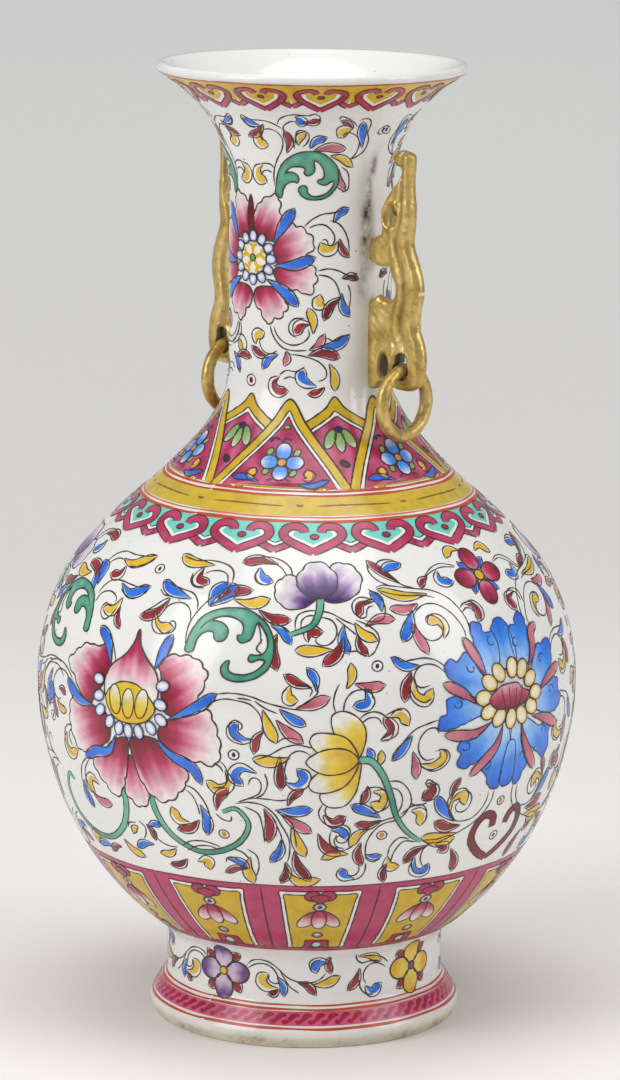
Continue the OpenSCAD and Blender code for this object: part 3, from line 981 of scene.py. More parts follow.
BLUE_HEART = [(-13.6, -6), (-8.6, -2.5), (-3.9, -2.1), (-0.7, -2.5), (1.1, -4.3), (4.6, -6), (2.9, -8.6),
              (0, -9.4), (-7.1, -9.6), (-11.4, -8.6)]
BLUE_LEAVES = """
pink -13.6,0.7 -16.4,7.1 -19.3,13.6
pink 5.4,0.7 9.6,6.4 10.7,11.4 14.3,13.2
pink -18.6,-6.4 -22.9,-2.9 -29.6,0.9
pink -12.9,-12.9 -20,-15.4 -30,-14.6
pink 10,-6.8 17.1,-3.6 24.6,-1.1
pink 6.4,-13.9 14.3,-16.1 22.9,-19.6
pink -7.9,-14.3 -10,-20 -19.3,-28.6
pink 0.7,-15.7 4.3,-22.9 10.4,-31.1
"""


def hook(centre, about, radius=1.9):
    """A small curl of line round `centre`, starting on the side away from `about`."""
    start = math.atan2(centre[1] - about[1], centre[0] - about[0])
    turn = np.linspace(0, 4.6, 10)
    reach = radius * (1 - turn / 6.4)
    return np.column_stack([centre[0] + reach * np.cos(start + turn),
                            centre[1] + reach * np.sin(start + turn)])


def blue_lotus(spot):
    """The large blue lotus, its curled petals in two layers."""
    middle = np.array([-3.8, -6])
    for k, (outline, curl) in enumerate(BLUE_PETALS):
        far = max(outline, key=lambda p: np.linalg.norm(np.array(p) - middle))
        near = middle + (np.array(far) - middle) * 0.3
        stops = [(0, rgb(206, 222, 240)), (0.3, SKY), (0.62, BLUE), (1, DEEP_BLUE)]
        edge = scalloped(outline, middle, 3.4, 0.5)
        fill(BLUE_ENAMEL, spot, edge, toward(near, far, stops), 1 + k % 2, 1.2)
        stroke(spot, edge[::2], 0.36, 1 + k % 2, closed=True, tint=rgb(40, 60, 120))
        if curl:
            stroke(spot, hook(curl, middle), 0.42, 1 + k % 2, tint=rgb(34, 52, 120))
    marks(spot, BLUE_LEAVES, 3)
    for u, v in BLUE_BEADS:
        turn = math.degrees(math.atan2(v - middle[1], u - middle[0]))
        shape(YELLOW_ENAMEL, spot, oval((u, v), 6.4, 4.8, turn), rimmed(YELLOW, rgb(240, 232, 200), 1.4), 4,
              0.34, 1.0)
    heart = toward((-4, -9.5), (-4, -2), [(0, CRIMSON), (0.5, ROSE), (1, BLUSH)])
    shape(ROSE_ENAMEL, spot, BLUE_HEART, heart, 5, 0.36, 1.0)
    for u in (-8.6, -5, -1.4, 1.6):
        stroke(spot, [(u * 0.6 - 1.6, -9.2), (u, -3.2)], 0.3, 5)


def small_flower(spot, centre=(-2.5, 32.5), tint=(BLUSH, ROSE, CRIMSON), enamel=ROSE_ENAMEL):
    """Four round petals about a yellow eye, with leaf tips between them."""
    for turn in (45, 135, 225, 315):
        a = math.radians(turn)
        path = [centre, (centre[0] + 7.6 * math.cos(a), centre[1] + 7.6 * math.sin(a))]
        dab(spot, "blue", path, 2.2, 0)
    for turn in (2, 92, 182, 272):
        a = math.radians(turn)
        at = (centre[0] + 6 * math.cos(a), centre[1] + 6 * math.sin(a))
        tip = (centre[0] + 10 * math.cos(a), centre[1] + 10 * math.sin(a))
        petal = toward(centre, tip, [(0, tint[0]), (0.45, tint[1]), (1, tint[2])])
        shape(enamel, spot, oval(at, 8, 6.8, turn), petal, 1, 0.36, 1.1)
    shape(YELLOW_ENAMEL, spot, oval(centre, 3.6, 3.6), YELLOW, 2, 0.34)


BLUE_TOP = """
yellow -4.3,42.1 -7.9,42.9 -11,40.4
yellow 2.1,40.7 5.7,42.1 8.9,39.3
stem -10,36.8 -15,37.9 -20,36.4 -23.6,33.9
red -22,34.6 -26,31.4
blue_ -17.5,36.4 -18.2,32.9 -14.3,31.8
stem 7.1,35.7 11.4,36.8 15.7,35 20,31.4 24.6,32.9
red 20.5,31.5 27,33.6
blue_ 15.7,33.6 15,30 10.7,30.7
red_ 9.3,25 5.4,22.9 7.1,19.3
red_ -14,24 -11.4,23.6 -10,20.7 -11.1,18.6
spot -3.6,-39.5
dot -1.8,-52.1
line -16.4,23.2 -14.3,24.5 -11.4,24.5 -9.3,22.1 -9.3,20 -10.7,17.9
line -16.1,21.8 -14.3,22.9 -12.5,22.5 -11.4,20.7
line 12.5,20.7 12.1,24.3 10,25.7 7.1,25.7 4.6,23.6 4.3,21.1
line 11.4,21.4 10.7,23.9 8.6,24.6 7.1,23.2
"""
BLUE_SPRIGS = """
yellow -25.4,29 -33.6,29 -40,31.5
red -32.1,33.2 -35.7,37.9 -37.5,41.4
blue -36.4,37.1 -32.9,38.9 -28.2,40
yellow_ -26,14.5 -24.8,18 -26.6,20.6 -29.2,19.6
pink -30,26.1 -35,24.6 -39.3,25
blue -32.9,24.3 -35.7,20 -39.6,15
pink -35,20.7 -34.3,15.7 -32.9,10.7
blue -36.4,7.1 -41.4,7.5 -44.6,10
red -39.6,5.7 -42.1,1.4 -43.2,-2.9
yellow_ -39.3,4.3 -39.3,-1.4 -36.4,-3.2 -33.9,-0.4
blue -41.1,-13.6 -43.6,-17.1 -46.8,-20.7
pink -40.7,-18.6 -39.3,-22.9 -38.6,-27.1
yellow_ -37.9,-22.9 -32.9,-23.6 -29.6,-21.4 -31.1,-19.3
red_ -33.6,-28.9 -31.8,-32.1 -34.3,-34.6
blue -21.4,-43.6 -27.1,-38.6 -30.4,-34.3
red -25,-35.7 -22.9,-29.3
yellow_ -24,-40 -24.4,-36 -21,-34.6 -19.3,-37.9
red -18.6,-45.4 -23.6,-45.4 -28.6,-42.9
yellow -19.3,-47.9 -25.7,-48.6 -31.4,-47.9
line -40.4,32.3 -38.2,33 -35,32.5 -28.6,31.1 -23.6,30 -19.3,27.1 -16.8,22.9 -15.7,18.6 -16.1,14.3
line -32.9,22.9 -30.7,24.6 -27.9,25.7 -24.3,25.4 -21.1,22.9 -18.9,19.3 -17.9,15.7 -18.2,13.6
line -32.9,22.9 -33.9,20 -33.2,16.4 -30.7,14.3 -27.1,15 -25,17.9 -25.4,20.7 -27.9,22.1 -29.6,21.4 -30,20 -28.9,18.9
line -40,31.4 -37.1,30 -32.1,28.9 -27.1,28.6 -23.6,27.5
line -38.2,40.7 -39.3,37.9 -38.6,35 -35.7,32.5
line -36.1,40.7 -35.4,38.6 -33.6,35 -31.4,32.5 -28.6,31.4
line -36.1,40 -33.6,41.6 -30,41.6 -27.9,40
line -45.4,10 -43.6,10.4 -42.1,8.9 -38.6,9.1 -34.3,9.3 -30.7,8.2 -28.2,6.1
line -28.6,4.3 -30.7,6.4 -33.6,7.4 -36.8,6.8 -38.9,4.6 -39.3,2.5 -37.9,0.7 -35.7,0.7 -34.3,1.1
line -41.1,0.7 -39.6,-2.5 -36.8,-3.9 -34.3,-2.9
line -47.1,-20.7 -45.7,-17.9 -42.9,-14.3 -40,-11.8 -35.7,-10.4 -32.1,-9.6
line -32.1,-13.9 -33.2,-12.1 -35.7,-12.1 -38.2,-14.3 -38.9,-17.9 -37.5,-20.7 -35.7,-21.8 -33.2,-21.4
line -38.6,-22.1 -36.4,-24.3 -32.9,-24.9 -29.6,-23.2 -28.9,-20.7 -30.7,-18.9 -32.9,-19.3
line -10.4,-35 -10.4,-37.9 -12.1,-41.4 -15,-43.6 -19.3,-43.9 -22.1,-42.9 -24.6,-40 -25,-37.1 -23.2,-34.3 -20.7,-33.2
line -20.7,-33.2 -17.9,-34.6 -16.8,-37.1 -17.9,-40 -20,-40.7 -22.1,-39.6 -22.5,-37.9 -21.4,-36.8
line -7.9,-35 -8.2,-38.6 -10,-42.1 -13.6,-45.4 -18.6,-47.9 -22.9,-49.6
"""


def ruyi_heart(spot):
    """The dark red scrolled heart under the blue lotus."""
    dark = rgb(112, 34, 42)
    for path in ([(-4.3, -48.6), (-5, -45), (-8.4, -43.6), (-11.4, -45.7), (-12.1, -51.4), (-7.1, -57.1),
                  (-1.4, -60.7)],
                 [(1.8, -48.4), (2.8, -45), (5.7, -43.6), (8.2, -46.4), (8, -51.9), (3.4, -57.4),
                  (-1.4, -60.7)]):
        vine(spot, path, [2.8, 2.6, 2.6, 2.6, 2.4], (dark, IRON_RED), 0, RED_ENAMEL)


# ---------------------------------------------------------------- between the two lotuses

PURPLE_BUD = [
    ([(-8.9, 36.4), (-12.9, 36.4), (-15.9, 32.1), (-14.5, 27.1), (-10, 25.5), (-5.7, 27.1), (-3.6, 29.6)],
     (-3, 29), (-15, 33), 0),
    ([(0.7, 39.6), (4.3, 41.3), (8.2, 39.6), (10.3, 35), (8, 30), (2.9, 27.7), (-1.4, 28.8)], (-1, 29),
     (9, 40), 0),
    ([(-9.3, 34.6), (-7.6, 38.6), (-5, 41.2), (-2.1, 41.7), (1, 39.5), (3, 35.7), (2.3, 32), (-2.4, 29),
      (-7.6, 31)], (-2.6, 29), (-4, 43), 1)]
YELLOW_BUD = [
    ([(8, -20), (10.2, -15.7), (10.4, -10.7), (7.9, -7.1), (3.6, -5.2), (0.4, -6.4), (0.5, -10.7), (4, -16)],
     (2, -5.5), 1),
    ([(8.9, -21), (8.8, -26), (7.6, -31), (4.3, -35), (-0.7, -35), (-3, -31.6), (2, -26)], (0, -35), 1),
    ([(8.3, -20), (5, -13.6), (-0.7, -11.8), (-5, -12.1), (-6.3, -14.3), (-4.3, -17.4), (2, -20)], (-6, -13),
     2),
    ([(8.3, -20.6), (5, -27.9), (-1.4, -30.6), (-5.4, -29.8), (-6.3, -28.2), (-5, -25.3), (1, -22)],
     (-6, -29), 2),
    ([(8.4, -20.3), (5, -17), (-2.1, -17), (-7.3, -20.7), (-2.1, -24.5), (5, -23.8)], (-7, -20.7), 3)]
BUD_STEMS = """
vine -2.4,28.9 -2.9,25 -5,20.7 -12.1,17.5
vine 8.2,-20.4 12.1,-20.7 15.7,-25 18.6,-32.1 20.7,-39.3 24.3,-45 29.3,-49.3
"""
MIDDLE_SPRIGS = """
red -14.3,40.7 -25,40.7
blue_ -20,39.3 -19.3,35.7 -16.8,34.6
blue -36.8,25 -30,32.9
red -34.3,26.4 -22.9,31.4
yellow -28.6,27.9 -17.9,28.6
red -21.1,25 -11.8,22.1
blue -17.5,20.4 -11.8,15
red -15.7,17.9 -16.1,7.1
pink -10.7,-4.6 -5,-2.9 -0.7,-1.1
blue -15.4,-4.6 -12.1,-7.1 -7.9,-9.3
yellow -20.4,-5 -18.6,-10 -16.4,-14.6
pink -16.4,-7.9 -12.9,-11.4 -8.6,-14.6
red -20,-11.1 -22.9,-18.2
blue_ -22.9,-14.3 -26.4,-14.3 -29.6,-12.1 -28.2,-9.6
dot -29.1,-19.3
red -5.7,1.8 -10,3.2 -13.6,5.4
blue -4.3,0.7 -6.8,7.5
yellow_ -12.1,2.5 -12.5,-1.4 -10.4,-2
yellow 4.6,1.4 6.1,8.6
pink 7.1,2.9 12.1,1.8 16.1,2.1
blue_ 10.4,1.4 11.1,-2.9 7.1,-3.9
dot 14.1,7.9
yellow 0.7,13.2 -5,12.9 -10,12.9
red 4.3,17.1 -2.1,8.6
blue 4.3,20.7 5.4,12.1
red 8.2,17.5 11.1,11.4
yellow 7.5,21.4 13.9,15.7
pink 10.7,20 19.6,21.8
red_ -6.6,15.4 -6.2,18 -2.6,18.6
blue 16.1,24.3 12.9,30.7
red_ 13.9,27.9 9.3,27.1 8.9,23.6
red_ 15,-14.6 18.6,-11.4 16.4,-7.9
yellow_ 17.9,-7.5 21.4,-7.1 23.6,-10
blue 12,-21.5 11.4,-17
yellow 14,-22.5 15.4,-18
red_ -1.8,-37.9 1.4,-40.4 4.6,-38.9
blue_ 0.7,-43.2 4.3,-43.6 5.4,-46
red -3.2,-44.3 -0.7,-49.3 3.6,-52.1
yellow 12.5,-42.9 6.8,-48.9
red 10,-47.9 10.4,-56.4
yellow 6.4,-52.1 -1.4,-53.6
blue 11.4,-52.5 16.4,-53.2
blue_ 8.6,-61.8 5.6,-60.6 4.4,-57.8
spot 16.4,-45.7
red 11.4,-28.6 9.6,-34.3
blue 15.7,-39.6 11.4,-37.1 6.8,-35
red 16.1,-40.4 8.2,-41.4
yellow_ 13,-30.6 16.4,-32 15.6,-35.4 12.8,-34.4
red_ 30,-29.3 31.8,-31.4 29.3,-34.3
yellow_ 25.4,-37.9 28.6,-39.4 28.6,-42.9
red -19.6,-36.1 -17.5,-41.4 -17.9,-47.5
blue -13.9,-46.4 -16.8,-55
yellow -11.1,-41.4 -9.3,-47.1 -6.8,-52.5
pink -14.3,-37.9 -9.3,-41.4 -5.4,-43.9
blue -15.7,-36.4 -10.7,-36.8 -5.4,-36.1
red -12.5,-35 -8.2,-29.6
dark -10,-50.7 -8.6,-56.4 -5,-62.1
dark -12.5,-55 -13.2,-63.2
yellow -12.1,-58.6 -7.9,-62.9 -2.1,-61.8
blue -30.4,-55 -23.6,-57.9
red -23.6,-58.2 -30.4,-60.4
yellow -23.2,-53.6 -21.8,-63.6
yellow_ -40,-57.5 -37,-56.6 -35.7,-59.6
dark 31.4,-51.1 24.3,-56.8
blue_ 27.6,-55 28,-60.4 31,-61.4 32.6,-58.8
red_ 34.3,-51.1 38.2,-52.9 36,-54
red 40.4,-53.6 41.8,-62.9
yellow_ 18.6,-53.6 19.6,-57.6 22.1,-57.9
dark 18.6,-56.4 17.9,-63.6
yellow 30,-49 41,-49.6
yellow -12,-19.4 -17,-20.8 -22.8,-20.2
dark -15.2,-19 -15,-24.5 -14.6,-29.4
blue_ -13.4,-27.4 -9.6,-28.2 -7.6,-25.6 -9.6,-23.2
line -10.4,36.4 -10.7,39.3 -12.9,41.8 -16.4,43.2 -20,42.9 -24.3,41.6
line -12.1,36.6 -12.9,38.6 -14.6,40.4 -16.4,40.7
line -20.4,38.6 -21.8,36.4 -21.4,34.3 -19.6,33.2
line -18,21.4 -15,20.6 -12.4,18.2
line -10.2,18.9 -10.2,21.4 -9.3,23.7 -6.4,25.1 -2.1,25 0.7,24.3 4.3,22.1 7.9,20.4
line -8.6,19.3 -8.2,22.1 -6.1,23.6 -2.9,23.2 0.7,22.1 2.1,19.3 1.4,16.4 -0.7,14.6 -2.9,14.6 -4.3,15.7 -3.9,17.1
line 1.8,22.9 4.3,20.7 7.9,17.5
line 7.9,22.1 11.4,20.4 14.3,17.9 14.9,15.7 14.1,13.6 13.2,12 11.4,10.7
line 5.4,12.5 8.2,12.5 10.7,10.7
line 12.1,32 15.4,29.3 17.1,25.7 16.4,22.1 13.6,21.3 10.7,21.8
line 14.3,28.2 11.4,28.2 8.9,26.4 8.2,24.3 9.3,22.7 11.1,23 11.4,25 12.1,26.1 13.6,26.4
line -35,-1.4 -31.4,-0.7 -27.9,-0.7 -23.6,-1.4 -19.3,-2.9 -15,-3.9 -11.4,-4.6 -9.3,-4.6
line -37.9,-5.4 -35.7,-3.6 -32.1,-2.5 -28.6,-2.7 -24.3,-3.6 -21.4,-6.4 -20.4,-9.6 -20.7,-11.1
line -22.9,-2.5 -19.6,-4.6 -16,-6
line -28.2,-2 -25.6,-2.1 -23.6,-2.5
line -10.4,-4.3 -7.1,-2.5 -4.6,-0.4 -3.9,0.6 -4.6,3.6
line -10.6,2.3 -8.2,2.6 -5.6,1.2 -6.4,-0.8
line -26.4,-15.4 -29.6,-13.9 -30.7,-11.4 -30.4,-9.6 -28.6,-8.6 -26.6,-10 -27.1,-11.4 -28.2,-11.4
line -16.1,-15 -14.3,-13.6 -11.4,-13.4 -9.3,-13.9
line -22.1,-20.4 -17.9,-18.6 -14.3,-16.4 -10,-15.4 -6.4,-16.1 -5,-16.4
line -6.1,-18.6 -7.9,-17.5 -10,-17.3 -12.1,-18.6 -13.2,-21.1 -13.6,-24 -12.8,-26.4
line -19.6,-24.6 -18.7,-27.9 -20,-31.4 -22.1,-32.7
line -24.6,-28.6 -23.6,-26.4 -21.8,-26.4 -20.6,-28.2 -21.1,-31.1 -22.9,-32.3 -27.1,-34.3
line -27.5,-34.3 -23.6,-32.9 -19.3,-32.9 -14.3,-33.2 -10.7,-32.1 -10,-30.4
line -28.6,-35 -24.3,-34.3 -20,-35 -16.4,-37.9 -14.3,-41.4 -11.8,-46.4 -11.4,-52.1 -12.1,-55.7
line -16.4,-36.1 -13.6,-38.6 -11.1,-40.7 -10,-45 -9.3,-49.3
line -25.7,-35.7 -21.4,-37.9 -19.9,-42.1 -19,-47.9
line -17.5,-37.9 -15.4,-42.1 -13.9,-46.4 -14.3,-50.7 -15.7,-55.7
line -2.1,-34.3 -3.2,-37.1 -2.1,-40 0.7,-41.8 3.6,-41.4 5,-39.6
line -0.4,-34.6 -1.3,-36.4 -0.7,-38.4
line 0.7,-43.6 0.4,-46.4 1.4,-49.3 4.3,-50.7 7.5,-49.3
line 2.5,-45 1.8,-47.1 2.9,-49.3 5,-49.9
line 1.2,-42.8 2.9,-42.1 5.4,-43.2 6.3,-45.7 5,-47.7 2.9,-47.5 2.5,-45.7 3.6,-45
line 11.4,-50.6 12.1,-54.3 14.3,-55.4 16.4,-54.3
line 11.8,-55.7 11.8,-58.6 10.4,-61.4 7.9,-62.5
line 9.6,-56.4 9.9,-58.6 8.6,-60.4 6.4,-60.4
line 10,-35 9.6,-31.4 12.1,-29.3 15.7,-29.6 17.5,-32.1 17.1,-35.7 14.3,-37.9 11.4,-37.1
line 17.9,-27.5 21.4,-27.9 24.3,-30.7 25.4,-35 23.6,-38.6 20.7,-41.1
line 18.6,-29.6 21.1,-30.7 22.5,-33.6 21.8,-37.1 20,-39.3
line 25,-35.4 27.9,-36.4 30.7,-35.7
line 29.6,-29.6 30.7,-28.2 32.9,-29.3 33.4,-32.1 32.1,-34.6 29.3,-35
line 22.1,-38.9 25.7,-36.4 29.3,-36.4 30.7,-38.6 30.4,-42.1
line 20.7,-39.6 17.1,-40.4 12.9,-42.1 9.3,-45
line 21.4,-40.7 16.4,-41.8 13.6,-44.3 11.8,-47.9 11.4,-52.1
line 25.4,-47.9 22.1,-47.1 19.3,-50 18.6,-53.6
line 27.9,-49.3 23.6,-48.6 20.7,-52.1 19.6,-56.4
line 33.6,-50 30.7,-52.1 29.6,-55.7 30.7,-59.3
line 27.1,-55 26.8,-58.6 28.6,-61.8 31.8,-61.8
line -24.3,-50.7 -21.4,-52.9 -20.4,-57.1 -21.1,-61.4
line -28.6,-51.1 -25.7,-52.1 -23.6,-54.3
line -30.7,-56.4 -30.4,-54.6 -28.2,-54.3 -26.4,-55.7
line 1.4,-5.7 0.7,-2.9 1.4,0.7 2.5,2.9
line 3.6,-5.7 4.3,-2.1 6.4,0.4 9.3,1.1 12.1,0.7 12.5,-1.8
line 8.2,-7.9 10.7,-6.1 13.6,-5.7 16.4,-7.1 18.6,-10 18.9,-12.9 17.1,-15
line 9.3,-8.9 11.4,-7.5 14.3,-7.7 15.4,-9.6
line 16.6,-6.9 19.6,-5.6 22,-5.6
"""


BUD_STOPS = [(0, rgb(58, 26, 88)), (0.28, PURPLE), (0.48, rgb(150, 116, 176)), (0.68, rgb(214, 200, 216)),
             (1, WHITE)]


def purple_bud(spot):
    """The bud with three petals above the middle of the belly."""
    for outline, root, tip, level in PURPLE_BUD:
        edge = scalloped(outline, np.array(root, float), 5, 0.6)
        fill(PURPLE_ENAMEL, spot, edge, toward(root, tip, BUD_STOPS, WHITE), level, 1.1)
        stroke(spot, edge[::2], 0.38, level, closed=True)


def yellow_bud(spot):
    """The sideways bud with five petals."""
    for outline, tip, level in YELLOW_BUD:
        stops = [(0, rgb(212, 158, 30)), (0.45, rgb(224, 190, 56)), (0.66, rgb(230, 208, 104)), (0.8, WHITE),
                 (1, WHITE)]
        shape(YELLOW_ENAMEL, spot, outline, toward((8.3, -20.3), tip, stops), level, 0.38, 1.2)


def between_lotuses(spot):
    """The purple bud above, the yellow bud below and the sprigs round them."""
    purple_bud(spot)
    yellow_bud(spot)
    marks(spot, MIDDLE_SPRIGS)
    marks(spot, BUD_STEMS, 1)


def belly():
    """The front pattern, drawn again on the back; the unseen quarters mirror the seen ones."""
    for turn in (0, 180):
        pink, blue = Spot(turn, BELLY_UP), Spot(90 + turn, BELLY_UP)
        pink_lotus(pink)
        acanthus(pink)
        acanthus(Spot(turn - 2.7, BELLY_UP, flip=-1))
        marks(pink, PINK_SPRIGS)
        blue_lotus(blue)
        small_flower(blue)
        marks(blue, BLUE_TOP)
        ruyi_heart(blue)
        marks(blue, BLUE_SPRIGS)
        marks(Spot(85 + turn, BELLY_UP, flip=-1), BLUE_SPRIGS)
        between_lotuses(Spot(45 + turn, BELLY_UP))
        between_lotuses(Spot(turn - 48, BELLY_UP, flip=-1))


# ---------------------------------------------------------------- bands, borders and panels

def hoop(enamel, low, high, tint, level=0, around=240):
    """A plain ring of enamel between two lengths up the wall."""
    ups = np.linspace(low, high, max(2, int((high - low) / 1.5) + 2))
    rows = []
    for up in ups:
        r, z = skin_at(up, level_lift(level))
        a = np.arange(around) * 2 * np.pi / around
        rows.append(np.column_stack([r * np.sin(a), -r * np.cos(a), np.full(around, z)]) * MM)
    points = np.vstack(rows)
    faces = [(j * around + i, j * around + (i + 1) % around, (j + 1) * around + (i + 1) % around,
              (j + 1) * around + i) for j in range(len(ups) - 1) for i in range(around)]
    enamel.add(points, faces, tint)


def line_round(up, width, tint=ORANGE, level=0):
    """A painted line round the vase, with the brush's slow waver."""
    a = np.linspace(0, 360, 361)
    r = skin_at(up)[0]
    line = np.column_stack([np.radians(a) * r, up + 0.1 * np.sin(np.radians(a * 5)) + 0.07 * np.sin(np.radians(a * 13))])
    half = width / 2 * (1 + 0.2 * np.sin(np.radians(a * 7)) + 0.12 * np.sin(np.radians(a * 17)))
    strip(ORANGE_LINES, Spot(0, 0), line, half, tint, level + 0.5, (-1, 1), 0)


def band(spot, path, width, colour=(MAGENTA, ROSE), level=0, enamel=ROSE_ENAMEL):
    """A bordered ribbon of even width."""
    vine(spot, path, [width, width], colour, level, enamel)


def white_line(spot, path, half, level):
    """A narrow line of white enamel, `half` mm to each side."""
    line = spline(path, 0.8)
    strip(WHITE_ENAMEL, spot, line, np.full(len(line), half), WHITE, level)


def ruyi_border():
    """Sixteen scrolled heads on a turquoise ground, with chevrons between."""
    heads = 16
    step = 360 / heads
    ground = [(-12.1, 56.5), (12.1, 56.5), (12.1, 45), (8.6, 48), (4.3, 47.2), (0, 45.6), (-4.3, 47.2),
              (-8.6, 48), (-12.1, 45)]
    half = [(2.6, 52.6), (3, 54.2), (5.2, 54.9), (7.8, 54), (8.9, 51.6), (7.6, 49.7), (4.3, 47.6), (0, 45.2)]
    for k in range(heads):
        spot, between = (Spot(-3.5 + step * (k + part), BELLY_UP) for part in (0, 0.5))
        fill(TURQUOISE_ENAMEL, spot, corners(ground), TURQUOISE, 0, 1.8)
        for way in (-1, 1):
            band(between, [(0, 45.9), (way * 2.4, 47.2), (way * 5, 48.6)], 2.3, (MAGENTA, ORCHID), 0.5)
            white_line(between, [(0, 48), (way * 2.4, 49.2), (way * 4, 50.2)], 0.45, 0.5)
            stroke(between, [(0, 48.6), (way * 2.4, 49.8), (way * 4, 50.8)], 0.3, 1)
            lining = [(way * (u * 0.86 - 0.9 if u else 0), 50.4 + (v - 50.4) * 0.68 + 0.5)
                      for u, v in half[3:]]
            white_line(spot, lining, 0.6, 1)
            band(spot, [(way * u, v) for u, v in half], 2.7, (MAGENTA, rgb(190, 66, 108)), 2)
        shape(ROSE_ENAMEL, spot, oval((0.5, 51), 2.6, 1.9), MAGENTA, 2, 0.3)


def shoulder_lines():
    """The yellow band on the shoulder between orange lines, with brown dashes."""
    line_round(161.8, 1.2)
    line_round(163.4, 0.6, rgb(214, 120, 84))
    line_round(171.6, 0.8)
    line_round(173.2, 0.9)
    hoop(YELLOW_ENAMEL, 164.0, 171.2, rgb(208, 178, 56))
    brown = rgb(150, 96, 40)
    for k in range(9):
        spot = Spot(17 + 40 * k, BAND_UP)
        stroke(spot, [(-11.7, -0.1), (-4, 0.2), (4, 0.1), (11.7, -0.2)], 0.4, 0.4, tint=brown,
               pen=ORANGE_LINES)
        dot = Spot(37 + 40 * k, BAND_UP)
        stroke(dot, [(-1.1, 0.2), (0, -0.1), (1.1, 0.2)], 0.7, 0.4, tint=brown, pen=ORANGE_LINES)


LAPPET = [(-23.4, -8.6), (-16, 1.5), (-10.5, 8.5), (-5.5, 15), (0, 22.6), (5.5, 15), (10.5, 8.5), (16, 1.5),
          (23.4, -8.6)]
REAR_LAPPET = [(-11.5, -8.6), (-12.3, 3), (-11, 14), (-6.5, 17.5), (-3, 20), (0, 23.4), (3, 20), (6.5, 17.5),
               (11, 14), (12.3, 3), (11.5, -8.6)]


def shrunk(path, amount):
    """The arch `path` moved inward by `amount`, with its feet on the same level and its apex kept simple."""
    edge = spline(path, 0.8)
    moved = edge - side_of(edge) * amount
    gap = np.linalg.norm(moved[:, None] - edge[None], axis=2).min(axis=1)
    return moved[(moved[:, 1] > -8.7) & (gap > amount * 0.97)]


def lappet_flower(spot):
    """The blue flower, leaves and scrolls inside a front panel."""
    for u, v, long, turn in ((0, 5.4, 6, 90), (0, -2.4, 5.4, 90), (4, 1.4, 5.6, 0), (-4, 1.4, 5.6, 0)):
        tint = toward((0, 1.4), (u * 1.7, 1.4 + (v - 1.4) * 1.7),
                      [(0, BLUE), (0.55, rgb(70, 150, 240)), (1, WHITE)])
        shape(BLUE_ENAMEL, spot, oval((u, v), long, 4.9, turn), tint, 2, 0.4, 1.0)
    shape(YELLOW_ENAMEL, spot, oval((0, 1.4), 2.8, 2.8), rgb(222, 150, 40), 3, 0.36)
    for u, v in ((4.2, 5), (-4.2, 5.2), (4, -2.4), (-4.6, -2)):
        shape(GREEN_ENAMEL, spot, oval((u, v), 2.8, 2, 60), rgb(140, 180, 100), 1, 0.34)
    for u in (-3.4, 0.2):
        stroke(spot, [(u - 1.4, 8.4), (u, 10), (u + 1.8, 9.4)], 0.8, 1.2, tint=rgb(80, 40, 90),
               pen=PURPLE_ENAMEL)
    shape(GREEN_ENAMEL, spot, oval((0, 13.7), 2, 1.4), rgb(140, 180, 100), 1, 0.34)
    for way in (-1, 1):
        dab(spot, "blue", [(way * 6, -6.4), (way * 15, -5)], 1.9, 1)
        comma(spot, "yellow", [(way * 7.4, -4.6), (way * 9.2, -4), (way * 8.2, -1.4)], 2.3, 1)
        tendril(spot, [(way * 2, -4.6), (way * 5, -6)], 1, 1)


def lappet(spot, arch, pen, insets, levels, yellow, rose):
    """One pointed panel: a yellow frame, a white line and a rose ground, each outlined in ink."""
    lining, ground = (shrunk(arch, inset) for inset in insets)
    fill(YELLOW_ENAMEL, spot, spline(arch, 0.9), yellow, levels[0], 1.6)
    stroke(spot, arch, pen, levels[0])
    fill(WHITE_ENAMEL, spot, lining, WHITE, levels[1], 1.8)
    stroke(spot, lining[::2], 0.36, levels[2])
    fill(ROSE_ENAMEL, spot, ground, rose, levels[3], 1.8)
    stroke(spot, ground[::2], 0.36, levels[3])


def rear_rose(uv, depth):
    """Rose that is mottled in upright bands."""
    return blend(MAGENTA, rgb(200, 96, 136), 0.5 + 0.5 * np.sin(uv[:, 0]))


def front_rose(uv, depth):
    """Rose that is mottled in slanting bands."""
    return blend(MAGENTA, rgb(206, 100, 142), 0.35 + 0.35 * np.sin(uv[:, 0] * 0.5 + uv[:, 1] * 0.4))


def lappets():
    """Two ranks of pointed panels round the shoulder."""
    for k in range(6):
        rear = Spot(-2.7 + 60 * k, LAPPET_UP)
        lappet(rear, REAR_LAPPET, 0.4, (2.7, 3.8), (0, 0.55, 0.7, 1.15), rgb(206, 170, 40), rear_rose)
        for u, turn in ((-3, 62), (0, 90), (3, 118)):
            tint = toward((0, 14), (u * 1.7, 4.5), [(0, LEAF_GREEN), (0.6, rgb(150, 184, 120)), (1, WHITE)])
            shape(GREEN_ENAMEL, rear, oval((u, 9 + abs(u) * 0.3), 7.4, 3.2, turn), tint, 2, 0.34)
        shape(PURPLE_ENAMEL, rear, oval((0, 13), 2.6, 2), rgb(70, 40, 90), 3, 0.36)
        shape(PURPLE_ENAMEL, rear, oval((0, 1.2), 3.2, 1.9, -35), rgb(60, 44, 66), 2, 0.5)
    for k in range(6):
        spot = Spot(27.3 + 60 * k, LAPPET_UP)
        lappet(spot, LAPPET, 0.42, (2.6, 3.7), (2, 2.6, 2.7, 3.2), rgb(210, 176, 44), front_rose)
        lappet_flower(Raised(spot, 3.3))


class Raised:
    """The same spot with everything drawn a few levels higher."""

    def __init__(self, spot, levels):
        self.spot, self.extra = spot, 0.07 * levels

    def points(self, uv, lift):
        return self.spot.points(uv, lift + self.extra)


